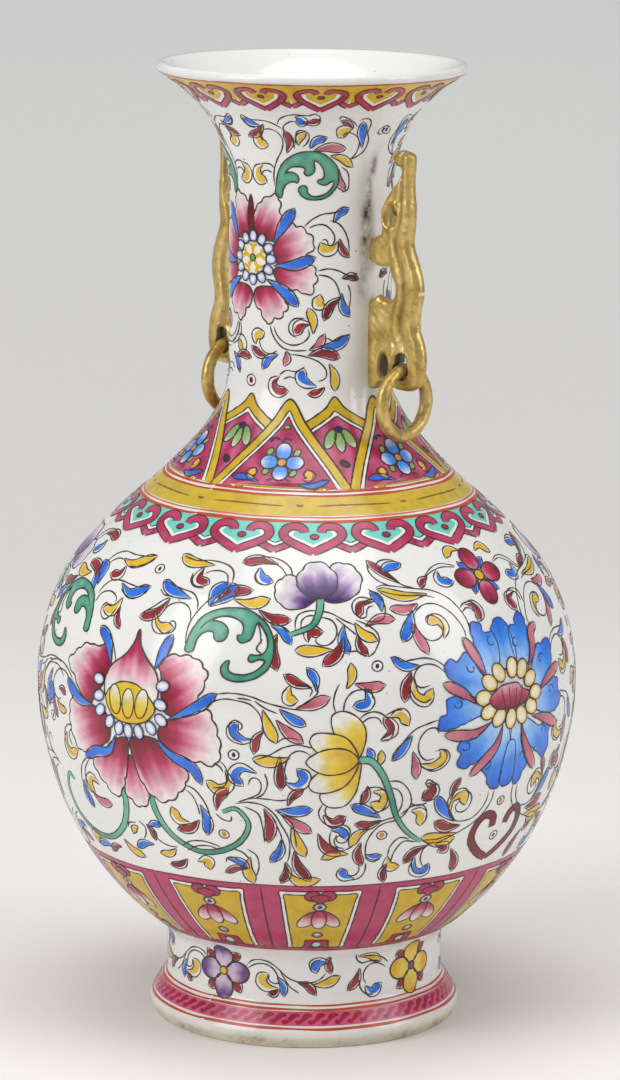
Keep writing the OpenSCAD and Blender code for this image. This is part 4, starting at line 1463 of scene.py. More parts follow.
def mouth_border():
    """Fourteen scrolled heads on a yellow ground, under the lip."""
    line_round(310.6, 0.8)
    heads = 14
    step = 360 / heads
    ground = [(-10.8, 14.2), (10.8, 14.2), (8.2, 3.6), (5.6, 5), (0, 1.4), (-5.6, 5), (-8.2, 3.6)]
    half = [(1.4, 9.4), (2.4, 11.2), (4.8, 11.4), (7.4, 9.6), (6.4, 6.6), (3, 3.4), (0, 1)]
    lining = [(5.2, 9.4), (4.8, 7.4), (2.4, 5), (0, 3.2)]
    for k in range(heads):
        spot, between = (Spot(43.8 + step * (k + part), MOUTH_UP) for part in (0, 0.5))
        fill(YELLOW_ENAMEL, spot, corners(ground), rgb(208, 172, 44), 0, 1.8)
        for way in (-1, 1):
            band(between, [(0, 2.6), (way * 2.6, 4.4), (way * 4.6, 6.4)], 1.7, (MAGENTA, ORCHID), 0.5)
            white_line(spot, [(way * u, v) for u, v in lining], 0.5, 1)
            band(spot, [(way * u, v) for u, v in half], 1.9, (MAGENTA, ROSE), 2)
        shape(ROSE_ENAMEL, spot, oval((0, 7.6), 2, 1.5), MAGENTA, 2, 0.3)


def panel_bell(spot):
    """The hanging flower in a panel: pearl, crimson bell with three white-tipped lobes, seed."""
    shape(WHITE_ENAMEL, spot, oval((0, 31), 4, 3.6), rimmed(PURPLE, WHITE, 0.7), 2, 0.34)
    fill(PURPLE_ENAMEL, spot, oval((0, 31), 1.6, 1.6), PURPLE, 3)
    for u, turn in ((-3.2, 55), (3.2, 125), (0, 90)):
        tint = toward((0, 31), (u * 1.5, 19.5), [(0, CRIMSON), (0.42, ROSE), (0.8, rgb(236, 214, 216)),
                                                 (1, WHITE)])
        shape(ROSE_ENAMEL, spot, oval((u, 24.8), 9.6, 4.6, turn), tint, 2 + (u == 0), 0.36)
    shape(PURPLE_ENAMEL, spot, oval((0, 16.2), 3.2, 3), rimmed(PURPLE, WHITE, 1.0), 2, 0.34)


def panels():
    """Twelve yellow panels round the base of the belly, with magenta bars between."""
    hoop(ROSE_ENAMEL, 5.0, 40.2, rgb(182, 60, 100))
    line_round(40.3, 0.5, rgb(120, 40, 50))
    line_round(6.8, 0.6, rgb(140, 70, 50))
    line_round(5.1, 0.7, rgb(150, 70, 50))
    for k in range(12):
        spot = Spot(44 + 30 * k, 0)
        for wide, level, enamel, tint in ((12.6, 0.5, WHITE_ENAMEL, WHITE),
                                          (11.2, 1, YELLOW_ENAMEL, rgb(206, 172, 38))):
            low, extra = 7.6, (wide - 11.2)
            outline = [(-wide, 36.6 + extra), (wide, 36.6 + extra), (7 + extra, low), (-7 - extra, low)]
            fill(enamel, spot, corners(outline), tint, level, 2.0)
            stroke(spot, corners(outline, 3), 0.36, level, closed=True)
        bar = Spot(59 + 30 * k, 0)
        stroke(bar, [(0, 6), (0.1, 20), (0, 39.6)], 0.4, 0.2)
        for u in (-2.4, 2.4):
            shape(ROSE_ENAMEL, spot, oval((u, 36), 4.8, 4.4), MAGENTA, 2, 0.34)
        shape(ROSE_ENAMEL, spot, [(-3, 35.4), (0, 36.6), (3, 35.4), (1.4, 33.6), (0, 32.6), (-1.4, 33.6)],
              MAGENTA, 3,
              0.34)
        panel_bell(spot)
        shape(ROSE_ENAMEL, spot, [(-3.8, 7.8), (3.8, 7.8), (3.4, 12.8), (-3.4, 12.8)], MAGENTA, 2, 0.36,
              smooth=False)
        shape(TURQUOISE_ENAMEL, spot, oval((0, 10), 3, 3.6), rimmed(TURQUOISE, rgb(190, 226, 214), 1.2), 3,
              0.34)


# ---------------------------------------------------------------- neck

NECK_PETALS = [
    [(-2.9, 10.7), (-1, 14.4), (2.7, 18.2), (5.8, 17.3), (9, 14.4), (9.5, 11.5), (7.3, 9), (3.1, 6.5),
     (-1, 5.3)],
    [(-2.7, 4), (3.1, 5.7), (8.5, 6.1), (10.6, 3.2), (10.2, 0.7), (8.5, -3.1), (5.6, -1.8), (1, -1.4),
     (-1.9, 1.1)],
    [(-9.4, -2.2), (-9.8, -6), (-6.5, -9.8), (-5.2, -12.3), (-2.3, -11), (0.6, -9.3), (1.5, -6.4),
     (-2.7, -1.4)],
    [(-9.4, 14.4), (-10.4, 19.8), (-8.1, 24), (-5.2, 26), (-1.5, 26.9), (-1, 22.3), (-0.6, 18.2),
     (-2.7, 13.2)]]
NECK_LEAVES = """
blue -2.9,12.3 0.6,18.2 3.5,22.8
blue -2.7,5.3 4.4,6.1 9.8,8.2
blue -5.2,1.1 0.6,-2.3 4.8,-6.4
"""
NECK_SPRIGS = """
blue 15.7,18.8 20.4,23
line 6.9,17.8 9,19.8 12.3,21.5 15.7,21.9 17.8,22.5 19.2,24
line 8.2,17.3 10.3,18.2 12.8,18.3 14.8,16.9 16.1,14.8 15.9,12.8 14.8,11.9
line 14.6,19.6 17.3,18.6 19.2,16.5 20.5,13.6 21.1,9.8
yellow_ 17.5,13.2 15.7,11.1 12.8,10.9 11.9,12.3
line 12.3,13.6 13.4,13.8 14,12.8 14.4,11.9 15.7,12
red 17.8,14 20.7,8.4
line 11.1,4.2 14,4.8 17.3,4.2 20.3,2.8 22.8,2.5 24,3.2
line 11.1,3 14,2.5 16.1,1.1 17.5,-1.4 18,-3.5
line 20.7,-0.2 21.5,-2.7 21.5,-5.6 21.1,-7.7
dark 18.6,1.7 24,1.3
dark 18.6,-3.9 13.2,-10.6
blue 18.6,-2.7 19,-6.8 21.1,-9.8
yellow_ 14,-6.6 11.5,-6 11.8,-3.6
yellow 9.8,-15.2 9.6,-11 8.4,-7.7
line -3.9,-13.1 -3.1,-15.6 -1.4,-18.1 0.7,-19.8 4,-20.4 8.2,-20.2
line -2.7,-13.1 -1.4,-16 1.1,-18.1 4,-18.7 6.9,-17.7 8.6,-15.6 8.2,-13.5
line 7.3,-10.4 4,-10.6 2.3,-12.7 2.8,-15.2 4.8,-16.4
red_ 8.8,-12 5.9,-12.9 4.4,-15.2
pink 8.6,-20.2 13.2,-15.6
blue 11.1,-19.3 16.1,-18.9 21.1,-16.4
line 14,-16.4 16.5,-17.5 19.4,-16 21.7,-15.6
red 8.2,-21.8 17.8,-22.5
line 2.8,-21.6 5.7,-21.8 9.8,-22.9 12.3,-24.3 14,-26.8 13.6,-28.9 11.5,-29.8
yellow 14.8,-24.3 16.4,-28 16.9,-32.3
red 13.6,-31.6 9,-33.7
blue_ 11.1,-31.4 8.2,-30.2 6.3,-28.5 6.9,-26.4
line -0.6,-28.1 1.5,-26.6 4.8,-26.8 7.3,-25.2
line 0.7,-29.3 2.8,-28.5 4.8,-29.1
"""
NECK_MIDDLE = """
red_ -0.6,-28.5 -2.5,-30.6 -1.2,-32.9 2,-33
yellow_ -9.1,-19.3 -9.1,-16.8 -6.4,-15.6
line -6.8,-17.5 -7.7,-18.1 -6.4,-21 -3.5,-21.8 -1.4,-20.6
red -4.3,-22.7 -10.6,-20.2
blue -1,-21.8 -6.4,-26.4
pink 1.5,-20.6 1.1,-24.8
yellow -14.6,-22.3 -17,-18.9
line -14,-22.6 -13.2,-19.6 -15,-17.2 -17.6,-17.2
red -19,-24.3 -11.5,-23.5
blue -21,-23 -16.9,-28.5
line -17.8,-13 -17.4,-15.6 -19,-18 -22,-19.6
line -16.4,-13 -16.2,-16.4 -18.4,-19.2 -22,-20.8
"""
NECK_ACANTHUS = [
    (-2.3, -14.7), (-2.1, -12.4), (-1.8, -10.2), (-1.1, -7.6), (0.4, -5), (2.3, -3.2), (4.9, -1.7),
    (7.8, -0.9),
    (10.8, -0.9), (13.4, -1.7), (15.6, -3.6), (17.1, -5.8), (17.4, -8.7), (17.1, -11.3), (15.6, -13.6),
    (13.4, -15.4), (10.4, -16.1), (7.4, -15.8), (5.6, -14.5), (5, -13), (5.8, -11.9), (6.9, -11.7),
    (7.6, -12.3),
    (7.8, -14), (9.3, -15), (11.5, -14.9), (13.7, -13.9), (15.4, -12.1), (15.8, -10.4), (14.9, -10.6),
    (13.4, -11.5), (11.7, -11.3), (10.8, -10.6), (11.1, -9.9), (12.3, -9.7), (13, -8.4), (12.6, -6.1),
    (11.5, -4.5),
    (10.2, -3.8), (10.2, -5.4), (10, -7.3), (8.9, -8.4), (7.6, -8.6), (6.9, -7.6), (7.3, -6.9), (6.7, -6),
    (5.2, -5.8), (3.4, -6), (1.9, -6.9), (1.2, -8), (2.3, -7.6), (3.7, -7.8), (5, -8.7), (5.2, -10.2),
    (4.5, -11),
    (3.9, -10.6), (2.6, -10.8), (1.1, -11.7), (0.2, -13.2), (-0.1, -15), (-0.6, -15.8)]
NECK_FLOWER = np.array([-10.4, 7.3])
NECK_MIRROR = 47.4


def neck_lotus(spot):
    """A smaller lotus, the same on both sides of its own middle."""
    for way in (1, -1):
        side = spot if way == 1 else Spot(math.degrees(spot.angle) - NECK_MIRROR, spot.up, flip=-1)
        for outline in NECK_PETALS:
            reach = np.mean(outline, axis=0) - NECK_FLOWER
            root, tip = NECK_FLOWER + reach * 0.35, NECK_FLOWER + reach * 1.3
            edge = scalloped(outline, root, 3.8, 1.1)
            fill(ROSE_ENAMEL, side, edge, toward(root, tip, PINK_STOPS, rgb(236, 214, 218)), 1, 1.0)
            stroke(side, edge[::2], 0.36, 1, closed=True)
        marks(side, NECK_LEAVES, 2)
    shape(RED_ENAMEL, spot, [(-11.7, 14), (-13, 20), (-11.7, 26.5), (-10.2, 20)], CRIMSON, 2, 0.36)
    for k in range(12):
        a = math.radians(30 * k)
        at = NECK_FLOWER + 6.56 * np.array([math.cos(a), math.sin(a)])
        shape(WHITE_ENAMEL, spot, oval(at, 3.8, 2.9, 30 * k), rimmed(BLUE, WHITE, 0.8), 3, 0.32, 0.9)
    shape(WHITE_ENAMEL, spot, oval(NECK_FLOWER, 10.4, 10.4), WHITE, 3.4, 0.36, 1.0)
    for k in range(5):
        a = math.radians(72 * k + 18)
        spoke = [NECK_FLOWER + out * np.array([math.cos(a + lean), math.sin(a + lean)])
                 for out, lean in ((4.6, -0.35), (3.2, 0), (1.2, 0), (3.2, 0), (4.6, 0.35))]
        for path in (spoke[:3], spoke[2:]):
            line = spline(path, 0.5)
            strip(YELLOW_ENAMEL, spot, line, np.full(len(line), 0.55), YELLOW, 4.2)
    shape(GREEN_ENAMEL, spot, oval(NECK_FLOWER, 2.2, 2.2), LEAF_GREEN, 5.2, 0.3)
    bead(spot, (-11, -30.6), 2.0, IRON_RED, RED_ENAMEL, 3.8)


FLARE_SPRIGS = """
blue -5,7.7 -8,8.6 -10.7,10.1
line -11.3,12 -9.6,10.9 -7.7,10 -4.8,10 -2.2,9.6 0,8.5 1.7,7.2
line -11.3,11.8 -11.6,10.5 -10.7,8.7 -8.9,7.2 -7,7
red -4,8.5 -10,3.7
yellow_ -5.9,5.7 -6.8,3.5 -6.3,1.5 -4.2,0.9
line -4.8,6.1 -5.5,4.6 -5.1,2.7
line -4.8,6.1 -2.6,6.8 -0.3,5.9 1,4.2 1.3,2 0.4,-1 -1.1,-3.6 -2.4,-6.9 -2.7,-9.5 -2.6,-12.1
line 0.6,8.7 1.5,10.5 3.4,12 6.3,12.9 8.6,12.9 11.1,12.6 13,13.3 14.3,12.6 14.3,11.3 13,9.8
line 2.1,5.7 2.3,7.6 3.4,9 5.2,10 6.7,10
blue_ 6.9,12.2 8.2,10.9 8,8.5
red 8.7,9.8 13.9,10.7
red 2.1,-1.5 2.7,5.9
line 3.6,5.9 4.3,3.5 4.7,0.1
yellow 6,1.1 8.7,5.7
line 5.2,1.3 5.6,4.6 6.5,6.3 8,6.6 9.5,5.7 9.7,4.2 8.6,2 7.1,0.5
blue 9.3,0.1 14.7,4
pink 10.4,-0.6 15,0.4 19.9,0.1
yellow 15.2,-2.3 19,-3.4 21.9,-5.8
pink 17.6,-6.5 19.1,-13.2
line 18.6,-6 20.4,-7.6 20.8,-10.2 20.2,-13.2 18,-13.9
red 23.9,7.2 20.8,10.1
yellow_ 23.9,7.4 20.8,6.3 18.8,4.4
line 20.1,10.9 21.1,12.2 23,11.3 24.7,9.4 25.2,7.9
line 20.4,3.9 20.4,5 22.3,5.7 24.1,4.8 25.2,2.4 24.5,-0.2 23,-2.4 21.5,-3.6
yellow_ -6.3,-5.6 -8.3,-7.6 -7.9,-10 -5.7,-10.9
line -2.6,-6.5 -3.3,-5.6 -5.1,-5.2 -7,-5.5
line -6.8,-8.7 -6.3,-7.8 -4.8,-7.4 -3.3,-8
"""
RIM_SPRIGS = """
line 12.2,-17.7 14.9,-16.5 17.2,-14.6 18.4,-11.5 18,-8.5 19,-5.4 18.6,-3.5 16.8,-3 14.9,-3.8
blue 16.2,-14 16,-9 16.4,-4.8
dot 25.5,-8
"""


def neck():
    """Two lotuses with scrolls, and the sprigs up the flare."""
    for turn in (0, 180):
        neck_lotus(Spot(20 + turn, NECK_UP))
        marks(Spot(20 + turn, NECK_UP), NECK_MIDDLE)
        for spin, way in ((20, 1), (20 - NECK_MIRROR, -1)):
            marks(Spot(spin + turn, NECK_UP, flip=way), NECK_SPRIGS)
            flare = Spot(spin + turn, FLARE_UP, flip=way)
            shape(GREEN_ENAMEL, flare, NECK_ACANTHUS, leaf_wash, 1, 0.36, 0.9)
            marks(flare, FLARE_SPRIGS)
            marks(Spot(spin + 20 * way + turn, MOUTH_UP, flip=way), RIM_SPRIGS)


# ---------------------------------------------------------------- foot

FOOT_SPRIGS = """
yellow_ -8,3.4 -11.6,3.8 -13.4,6 -11.8,7.6
dark -7.7,3 -10.8,1.2
blue -8.3,7 -6.2,1.2
line -18.4,9.7 -16.5,11.6 -13.9,12.2 -11,11.6 -8,9.6 -5,6.9 -1.5,5.6 2,5.4 5,6.5 7,8.6
line -17.8,9 -15.5,10.5 -12.5,10.9 -10.2,10 -8.6,8.2 -7.9,6.2
line -10.9,7.6 -10.9,5.8 -9.4,4.9 -7.6,5
line -7.5,9 -6,6.5 -4.2,3.9 -1.5,2.1
red -2,5.6 3.5,1.7
yellow 2.7,4.6 7,5.2 10.8,7
blue_ 7.8,11.6 5.5,12 3.4,11 3.6,9
red 8.2,14.2 8.3,8.6
line 2.3,8.9 2.1,10.6 3.2,12.4 5.4,13
yellow 17.2,13.4 25,10.9
line 16.6,14.8 16.6,12.6 18.2,10.9 21,11.2 25,10.9
line 18.5,13.4 22,13 25.5,12 28,9.8
red 17.7,9.3 14,2.8
line 20,4 19,5.8 19.2,8 21,10 24,10.2 27,8.6
blue_ 19.6,3.4 22.2,1.4 25,3.4
line 17.5,5.5 18,2.8 20,0.7 22.5,0.3
"""


def foot_flower(spot, dark, pale, eye, enamel):
    """Four broad petals with a red bud showing between each pair."""
    for turn in (45, 135, 225, 315):
        a = math.radians(turn)
        dab(spot, "red", [(4 * math.cos(a), 4 * math.sin(a)), (8.4 * math.cos(a), 8.4 * math.sin(a))], 2.6, 0)
    for turn in (0, 180, 90, 270):
        a = math.radians(turn)
        at, tip = (5 * math.cos(a), 5 * math.sin(a)), (9.2 * math.cos(a), 9.2 * math.sin(a))
        shape(enamel, spot, oval(at, 8.2, 6.8, turn), toward((0, 0), tip,
                                                             [(0, pale), (0.4, pale), (0.75, dark),
                                                                           (1, dark)]), 1, 0.42, 1.0)
    shape(YELLOW_ENAMEL, spot, oval((0, 0), 2.8, 2.6), eye, 2, 0.34)


def foot():
    """Flowers and sprigs round the foot, over a rose band with a rope."""
    for turn in (0, 180):
        foot_flower(Spot(5 + turn, -7), rgb(104, 62, 128), rgb(204, 186, 208), YELLOW, PURPLE_ENAMEL)
        foot_flower(Spot(90 + turn, -7), rgb(218, 168, 34), rgb(228, 200, 84), rgb(110, 70, 110),
                    YELLOW_ENAMEL)
        marks(Spot(40 + turn, -14), FOOT_SPRIGS)
        marks(Spot(-40 + turn + 12, -14, flip=-1), FOOT_SPRIGS)
    hoop(ROSE_ENAMEL, -22.6, -18.0, rgb(206, 92, 128))
    line_round(-15.9, 0.6)
    line_round(-17.4, 0.8)
    line_round(-23.6, 0.8)
    for k in range(72):
        spot = Spot(k * 5, -20.3)
        stroke(spot, [(-2.7, -1), (-1.2, -1.1), (1.2, 1.1), (2.7, 1)], 1.15, 0, tint=rgb(176, 28, 62),
               pen=RED_ENAMEL)


belly()
ruyi_border()
shoulder_lines()
lappets()
mouth_border()
panels()
neck()
foot()
for _enamel in (RED_ENAMEL, ROSE_ENAMEL, YELLOW_ENAMEL, BLUE_ENAMEL, GREEN_ENAMEL, TURQUOISE_ENAMEL,
                PURPLE_ENAMEL, WHITE_ENAMEL, ORANGE_LINES, INK_LINES):
    _enamel.build()


# ---------------------------------------------------------------- gilt handles and loose rings

def gilding_material():
    """Old gilding: satin gold with specks of grime, darkened to brown in the hollows as painted shade, rubbed
    through to white on a few edges.
    """
    material, nodes, links, bsdf = new_material("worn_gilding_with_painted_shade")
    hollow, worn = nodes.new("ShaderNodeAttribute"), nodes.new("ShaderNodeAttribute")
    hollow.attribute_name, worn.attribute_name = "hollow", "worn"
    gold = ramp_node(nodes, links, noise_node(nodes, links, 120, 4, 0.6),
                     [(0.3, rgb(180, 146, 74)), (0.5, rgb(206, 176, 102)), (0.72, rgb(226, 202, 136))])
    grime = noise_node(nodes, links, 420, 3, 0.65)
    grime = ramp_node(nodes, links, grime, [(0.5, grey(0)), (0.72, grey(0.55))])
    # Painted shade: the hollow attribute darkens recesses to brown, screened with specks of real grime.
    grime_and_shade = mix_node(nodes, links, hollow.outputs["Color"], grime, 1.0, "SCREEN")
    base = mix_node(nodes, links, gold, rgb(54, 32, 12), grime_and_shade)
    chip = mix_node(nodes, links, worn.outputs["Color"],
                    ramp_node(nodes, links, noise_node(nodes, links, 500, 3),
                              [(0.42, grey(0)), (0.5, grey(1))]),
                    1.0, "MULTIPLY")
    links.new(mix_node(nodes, links, base, rgb(226, 220, 208), chip), bsdf.inputs["Base Color"])
    # The painted shade and the grime also take away the metal.
    metal = nodes.new("ShaderNodeMath")
    metal.operation, metal.use_clamp = "SUBTRACT", True
    metal.inputs[0].default_value = 0.72
    links.new(grime_and_shade, metal.inputs[1])
    bare = nodes.new("ShaderNodeMath")
    bare.operation, bare.use_clamp = "SUBTRACT", True
    links.new(metal.outputs[0], bare.inputs[0])
    links.new(chip, bare.inputs[1])
    links.new(bare.outputs[0], bsdf.inputs["Metallic"])
    links.new(ramp_node(nodes, links, noise_node(nodes, links, 300, 3),
                        [(0.3, grey(0.26)), (0.7, grey(0.42))]),
              bsdf.inputs["Roughness"])
    bump_node(nodes, links, noise_node(nodes, links, 520, 3), 0.25, 0.0004, bsdf)
    return material


GILDING = gilding_material()

HANDLE_EDGE = [
    (33.3, 274), (33.5, 272), (34.4, 270.6), (36.2, 270), (36.3, 268.2), (35, 266),
    (33.2, 264.2), (30.2, 259.9), (28.6, 255.9), (29, 252.1), (28.8, 249.6), (27, 248.8), (25, 247.4),
    (22.9, 244), (25, 240.8), (27.6, 239.5), (32.1, 239.3), (33, 237), (34.6, 233.4), (33.6, 230),
    (30, 229.8),
    (28, 230.8), (25.5, 229.2), (22.9, 229), (22.9, 202.6), (27.4, 201.6), (29.7, 203.6), (32.4, 203.4),
    (35.5, 202.3), (39.6, 202), (43, 203), (45, 205.4), (45.8, 209), (45.9, 213.3), (45.2, 216.8),
    (43.6, 221),
    (43.5, 225.6), (44.7, 232), (44.3, 236.6), (42.7, 241.2), (40.8, 245.8), (40.6, 248.2), (41.1, 252),
    (41.2, 257), (40.8, 262.4), (40.6, 265), (40.7, 268), (41, 271), (40.7, 274.2), (38.4, 275.5),
    (35.4, 275.4)]
BEAD_THIN = [(39.1, 273.6), (38.7, 270), (38.7, 266), (38.8, 262), (38.9, 258)]
BEAD_FULL = [(38.7, 259), (38.3, 255), (38, 250.5), (37.7, 247), (39.3, 242.5), (40.9, 237), (41, 231),
             (40.1, 225), (40.1, 221.5), (41.9, 217), (42.6, 213), (42.7, 208), (41.3, 204.6), (36.7, 203.6)]
GROOVE = [(37.4, 269), (37.5, 264), (37.1, 260.4), (37.4, 256), (35.9, 251), (35.2, 247), (36.7, 242),
          (38.4, 236.8), (38.5, 231), (37.4, 225.4), (37.3, 221), (39.3, 216.4), (39.7, 214)]
RIDGE = [(36.2, 266.8), (36.1, 263), (35.2, 260), (33.5, 250), (33.5, 246.4), (34.9, 241), (36.5, 236),
         (36.6, 231), (35.3, 225.2), (35.1, 220.6), (36.9, 216)]
BROW = [(25, 226.5), (29, 227), (33.4, 225.4)]
LEG = [(26.2, 224), (26, 214), (26.4, 205)]
POST = [(34.4, 215.4), (34.2, 212.6)]
LOBE, LOBE_PIT = (33, 255.6), (34.3, 256.4)
POCKET = (30.6, 209)
EYE_ENDS = [((37.6, 208.4), (38.4, 208.4), 2.6), ((38.2, 209), (38.2, 211.6), 2.2)]
CHIPS = [((36.8, 275.2), 1.1), ((44.6, 232.4), 0.6)]


def away_from(line, at):
    """Distance from each point to the smooth line."""
    curve = spline(line, 0.3)
    return np.linalg.norm(at[:, None] - curve[None], axis=2).min(axis=1)


def away_from_slot(at):
    """Distance from each point to the slot the ring hangs in, negative inside it."""
    found = []
    for a, b, radius in EYE_ENDS:
        a, b = np.array(a), np.array(b)
        t = np.clip((at - a) @ (b - a) / ((b - a) @ (b - a)), 0, 1)
        found.append(np.linalg.norm(at - a - t[:, None] * (b - a), axis=1) - radius)
    return np.min(found, axis=0)


def hump(distance, wide):
    """A smooth bump, 1 at no distance and fading over `wide` mm."""
    return np.exp(-(distance / wide) ** 2)


def handle_relief(at, from_edge):
    """Half-thickness in mm, and the painted shade of the hollows from 0 to 1, at points of the handle's own flat
    outline.
    """
    body = 1.95
    thin = np.sqrt(np.clip(1 - (away_from(BEAD_THIN, at) / 1.5) ** 2, 0, 1))
    full = np.sqrt(np.clip(1 - (away_from(BEAD_FULL, at) / 2.5) ** 2, 0, 1))
    half = np.maximum(body, np.maximum(1.7 + 0.75 * thin, 1.55 + 1.08 * full))
    groove, ridge = away_from(GROOVE, at), away_from(RIDGE, at)
    half = half - 0.6 * hump(groove, 0.42) + 0.28 * hump(ridge, 0.75) - 0.12 * hump(away_from(BROW, at), 0.6)
    half = half + 0.15 * hump(away_from(LEG, at), 1.1) + 0.3 * hump(away_from(POST, at), 0.7)
    lobe = np.hypot((at[:, 0] - LOBE[0]) / 2.9, (at[:, 1] - LOBE[1]) / 3.9)
    pocket = np.hypot((at[:, 0] - POCKET[0]) / 2.4, (at[:, 1] - POCKET[1]) / 5.2) ** 1.5
    sink = 1 - ease((lobe - 0.62) / 0.4)
    pit = hump(np.hypot(at[:, 0] - LOBE_PIT[0], at[:, 1] - LOBE_PIT[1]), 0.6)
    dent = 1 - ease((pocket - 0.35) / 0.7)
    half = half - 0.8 * sink - 0.5 * pit + 0.42 * hump(lobe - 1.14, 0.17) - 1.1 * dent
    slot = away_from_slot(at)
    thick = 1 - ease((slot - 0.6) / 1.2)
    half = half * (1 - thick) + 2.45 * thick
    soft = np.sqrt(np.clip(1 - (1 - np.clip(from_edge / 1.7, 0, 1)) ** 2, 0, 1))
    half = half * soft
    waves = 0.05 * np.sin(at[:, 0] * 1.9 + at[:, 1] * 0.8) * np.sin(at[:, 1] * 1.3)
    half = np.clip(half + waves * soft, 0, 2.62)
    # Painted shade: darkens the groove, sunk lobe, pit, pocket, slot walls and the sides of brow and ridge.
    hollow = (0.5 * hump(groove, 0.42) + 0.5 * sink + pit + 1.1 * dent + 0.9 * (1 - ease(slot / 0.8))
              + 0.2 * hump(away_from(BROW, at), 0.5) + 0.2 * hump(ridge - 1.3, 0.5))
    return half, np.clip(hollow, 0, 1)


def slot_outline():
    """The closed edge of the slot, found by walking outward from its middle."""
    middle, edge = np.array([38, 209]), []
    for k in range(40):
        a = math.radians(9 * k)
        out, reach = np.array([math.cos(a), math.sin(a)]), 0.2
        while away_from_slot(np.array([middle + reach * out]))[0] < 0.02:
            reach += 0.05
        edge.append(middle + reach * out)
    return np.array(edge)


def handle(name, node, turn):
    """A flat scrolled handle, both faces in relief, standing out from the neck at `turn` degrees."""
    edge = spline(HANDLE_EDGE, 0.45, closed=True)
    slot = slot_outline()
    low, high = edge.min(axis=0), edge.max(axis=0)
    x, y = (np.arange(low[k] + 0.2, high[k], 0.42) for k in (0, 1))
    grid = np.array([(i + (j % 2) * 0.21, v) for j, v in enumerate(y) for i in x])
    rim = np.vstack([edge, slot])
    near = np.linalg.norm(grid[:, None] - rim[None], axis=2).min(axis=1)
    grid = grid[inside(edge, grid) & ~inside(slot, grid) & (near > 0.25)]
    n, m = len(edge), len(slot)
    loop = [(n + i, n + (i + 1) % m) for i in range(m)]
    found = geometry.delaunay_2d_cdt([Vector(p) for p in np.vstack([rim, grid])], loop, [list(range(n))], 1,
                                     1e-5)
    at = np.array([p[:] for p in found[0]])
    faces = [f for f in found[2] if not inside(slot, at[list(f)].mean(axis=0)[None])[0]]
    from_edge = np.linalg.norm(at[:, None] - edge[None], axis=2).min(axis=1)
    on_rim = from_edge < 1e-3
    half, hollow = handle_relief(at, from_edge)
    half[on_rim] = 0
    worn = np.max([1 - ease((np.hypot(at[:, 0] - c[0], at[:, 1] - c[1]) - r * 0.5) / (r * 0.6)) for c,
                   r in CHIPS],
                  axis=0)
    back = np.arange(len(at))
    back[~on_rim] = len(at) + np.arange((~on_rim).sum())
    c, s = math.cos(math.radians(turn)), math.sin(math.radians(turn))
    flat = np.column_stack([np.concatenate([at[:, 0], at[~on_rim, 0]]),
                            np.concatenate([-half, half[~on_rim]]),
                            np.concatenate([at[:, 1], at[~on_rim, 1]])])
    points = np.column_stack([c * flat[:, 0] - s * flat[:, 1], s * flat[:, 0] + c * flat[:, 1],
                              flat[:, 2]]) * MM
    sheets = [tuple(f) for f in faces] + [tuple(back[i] for i in reversed(f)) for f in faces]
    ring_of = [int(np.argmin(np.linalg.norm(at - p, axis=1))) for p in slot]
    sheets += [(a, b, back[b], back[a]) for a, b in zip(ring_of, ring_of[1:] + ring_of[:1])]
    piece = add_mesh(name, points, sheets, GILDING)
    # Painted shade: the hollow attribute darkens the handle's recesses; worn marks the real rubbed gilding.
    paint(piece, "hollow", np.repeat(np.concatenate([hollow, hollow[~on_rim]])[:, None], 3, axis=1))
    paint(piece, "worn", np.repeat(np.concatenate([worn, worn[~on_rim]])[:, None], 3, axis=1))
    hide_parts(node)


def loose_ring(name, node, body, chip):
    """A hand-rolled ring in place of the CAD ring, faintly flattened and knobbed, chipped towards `chip`, with
    painted shade on the inner face of its wire.
    """
    corners_of = np.array([v.co[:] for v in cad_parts[node].data.vertices])
    centre = (corners_of.min(axis=0) + corners_of.max(axis=0)) / 2
    axes = np.linalg.svd(corners_of - centre, full_matrices=False)[2]
    flat = (corners_of - centre) @ axes.T
    across = np.hypot(flat[:, 0], flat[:, 1])
    big, wire = (across.max() + across.min()) / 2, (across.max() - across.min()) / 2
    around, section = 96, 20
    points, hollow, worn = [], [], []
    chip = np.array(chip) / np.linalg.norm(chip)
    for i in range(around):
        a = i * 2 * math.pi / around
        out = math.cos(a) * axes[0] + math.sin(a) * axes[1]
        here = wire * (0.975 + 0.02 * math.sin(3 * a + 1) + 0.018 * math.sin(11 * a) + 0.016 * math.sin(23 * a + 2))
        for j in range(section):
            b = j * 2 * math.pi / section
            bump = here * (1 - 0.012 * (1 + math.cos(2 * b + a * 3)))
            points.append(centre + out * (big + bump * math.cos(b)) + axes[2] * bump * math.sin(b))
            # Painted shade: the inner face of the wire, towards the ring's middle, is darkened through the hollow
            # attribute.
            hollow.append(0.35 * max(0, -math.cos(b)) ** 2)
            worn.append(float(ease((out @ chip - 0.965) / 0.02)))
    faces = [(i * section + j, ((i + 1) % around) * section + j,
              ((i + 1) % around) * section + (j + 1) % section,
              i * section + (j + 1) % section) for i in range(around) for j in range(section)]
    piece = add_mesh(name, points, faces, GILDING, body=body)
    paint(piece, "hollow", np.repeat(np.array(hollow)[:, None], 3, axis=1))
    paint(piece, "worn", np.repeat(np.array(worn)[:, None], 3, axis=1))
    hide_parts(node)


handle("handle_right_gilt", "handle_right", 0)
handle("handle_left_gilt", "handle_left", 173)
loose_ring("ring_right_gilt", "ring_right", "ring_right", (0.75, 0, -0.66))
loose_ring("ring_left_gilt", "ring_left", "ring_left", (-0.3, 0, 0.95))


# ---------------------------------------------------------------- stage, light, camera

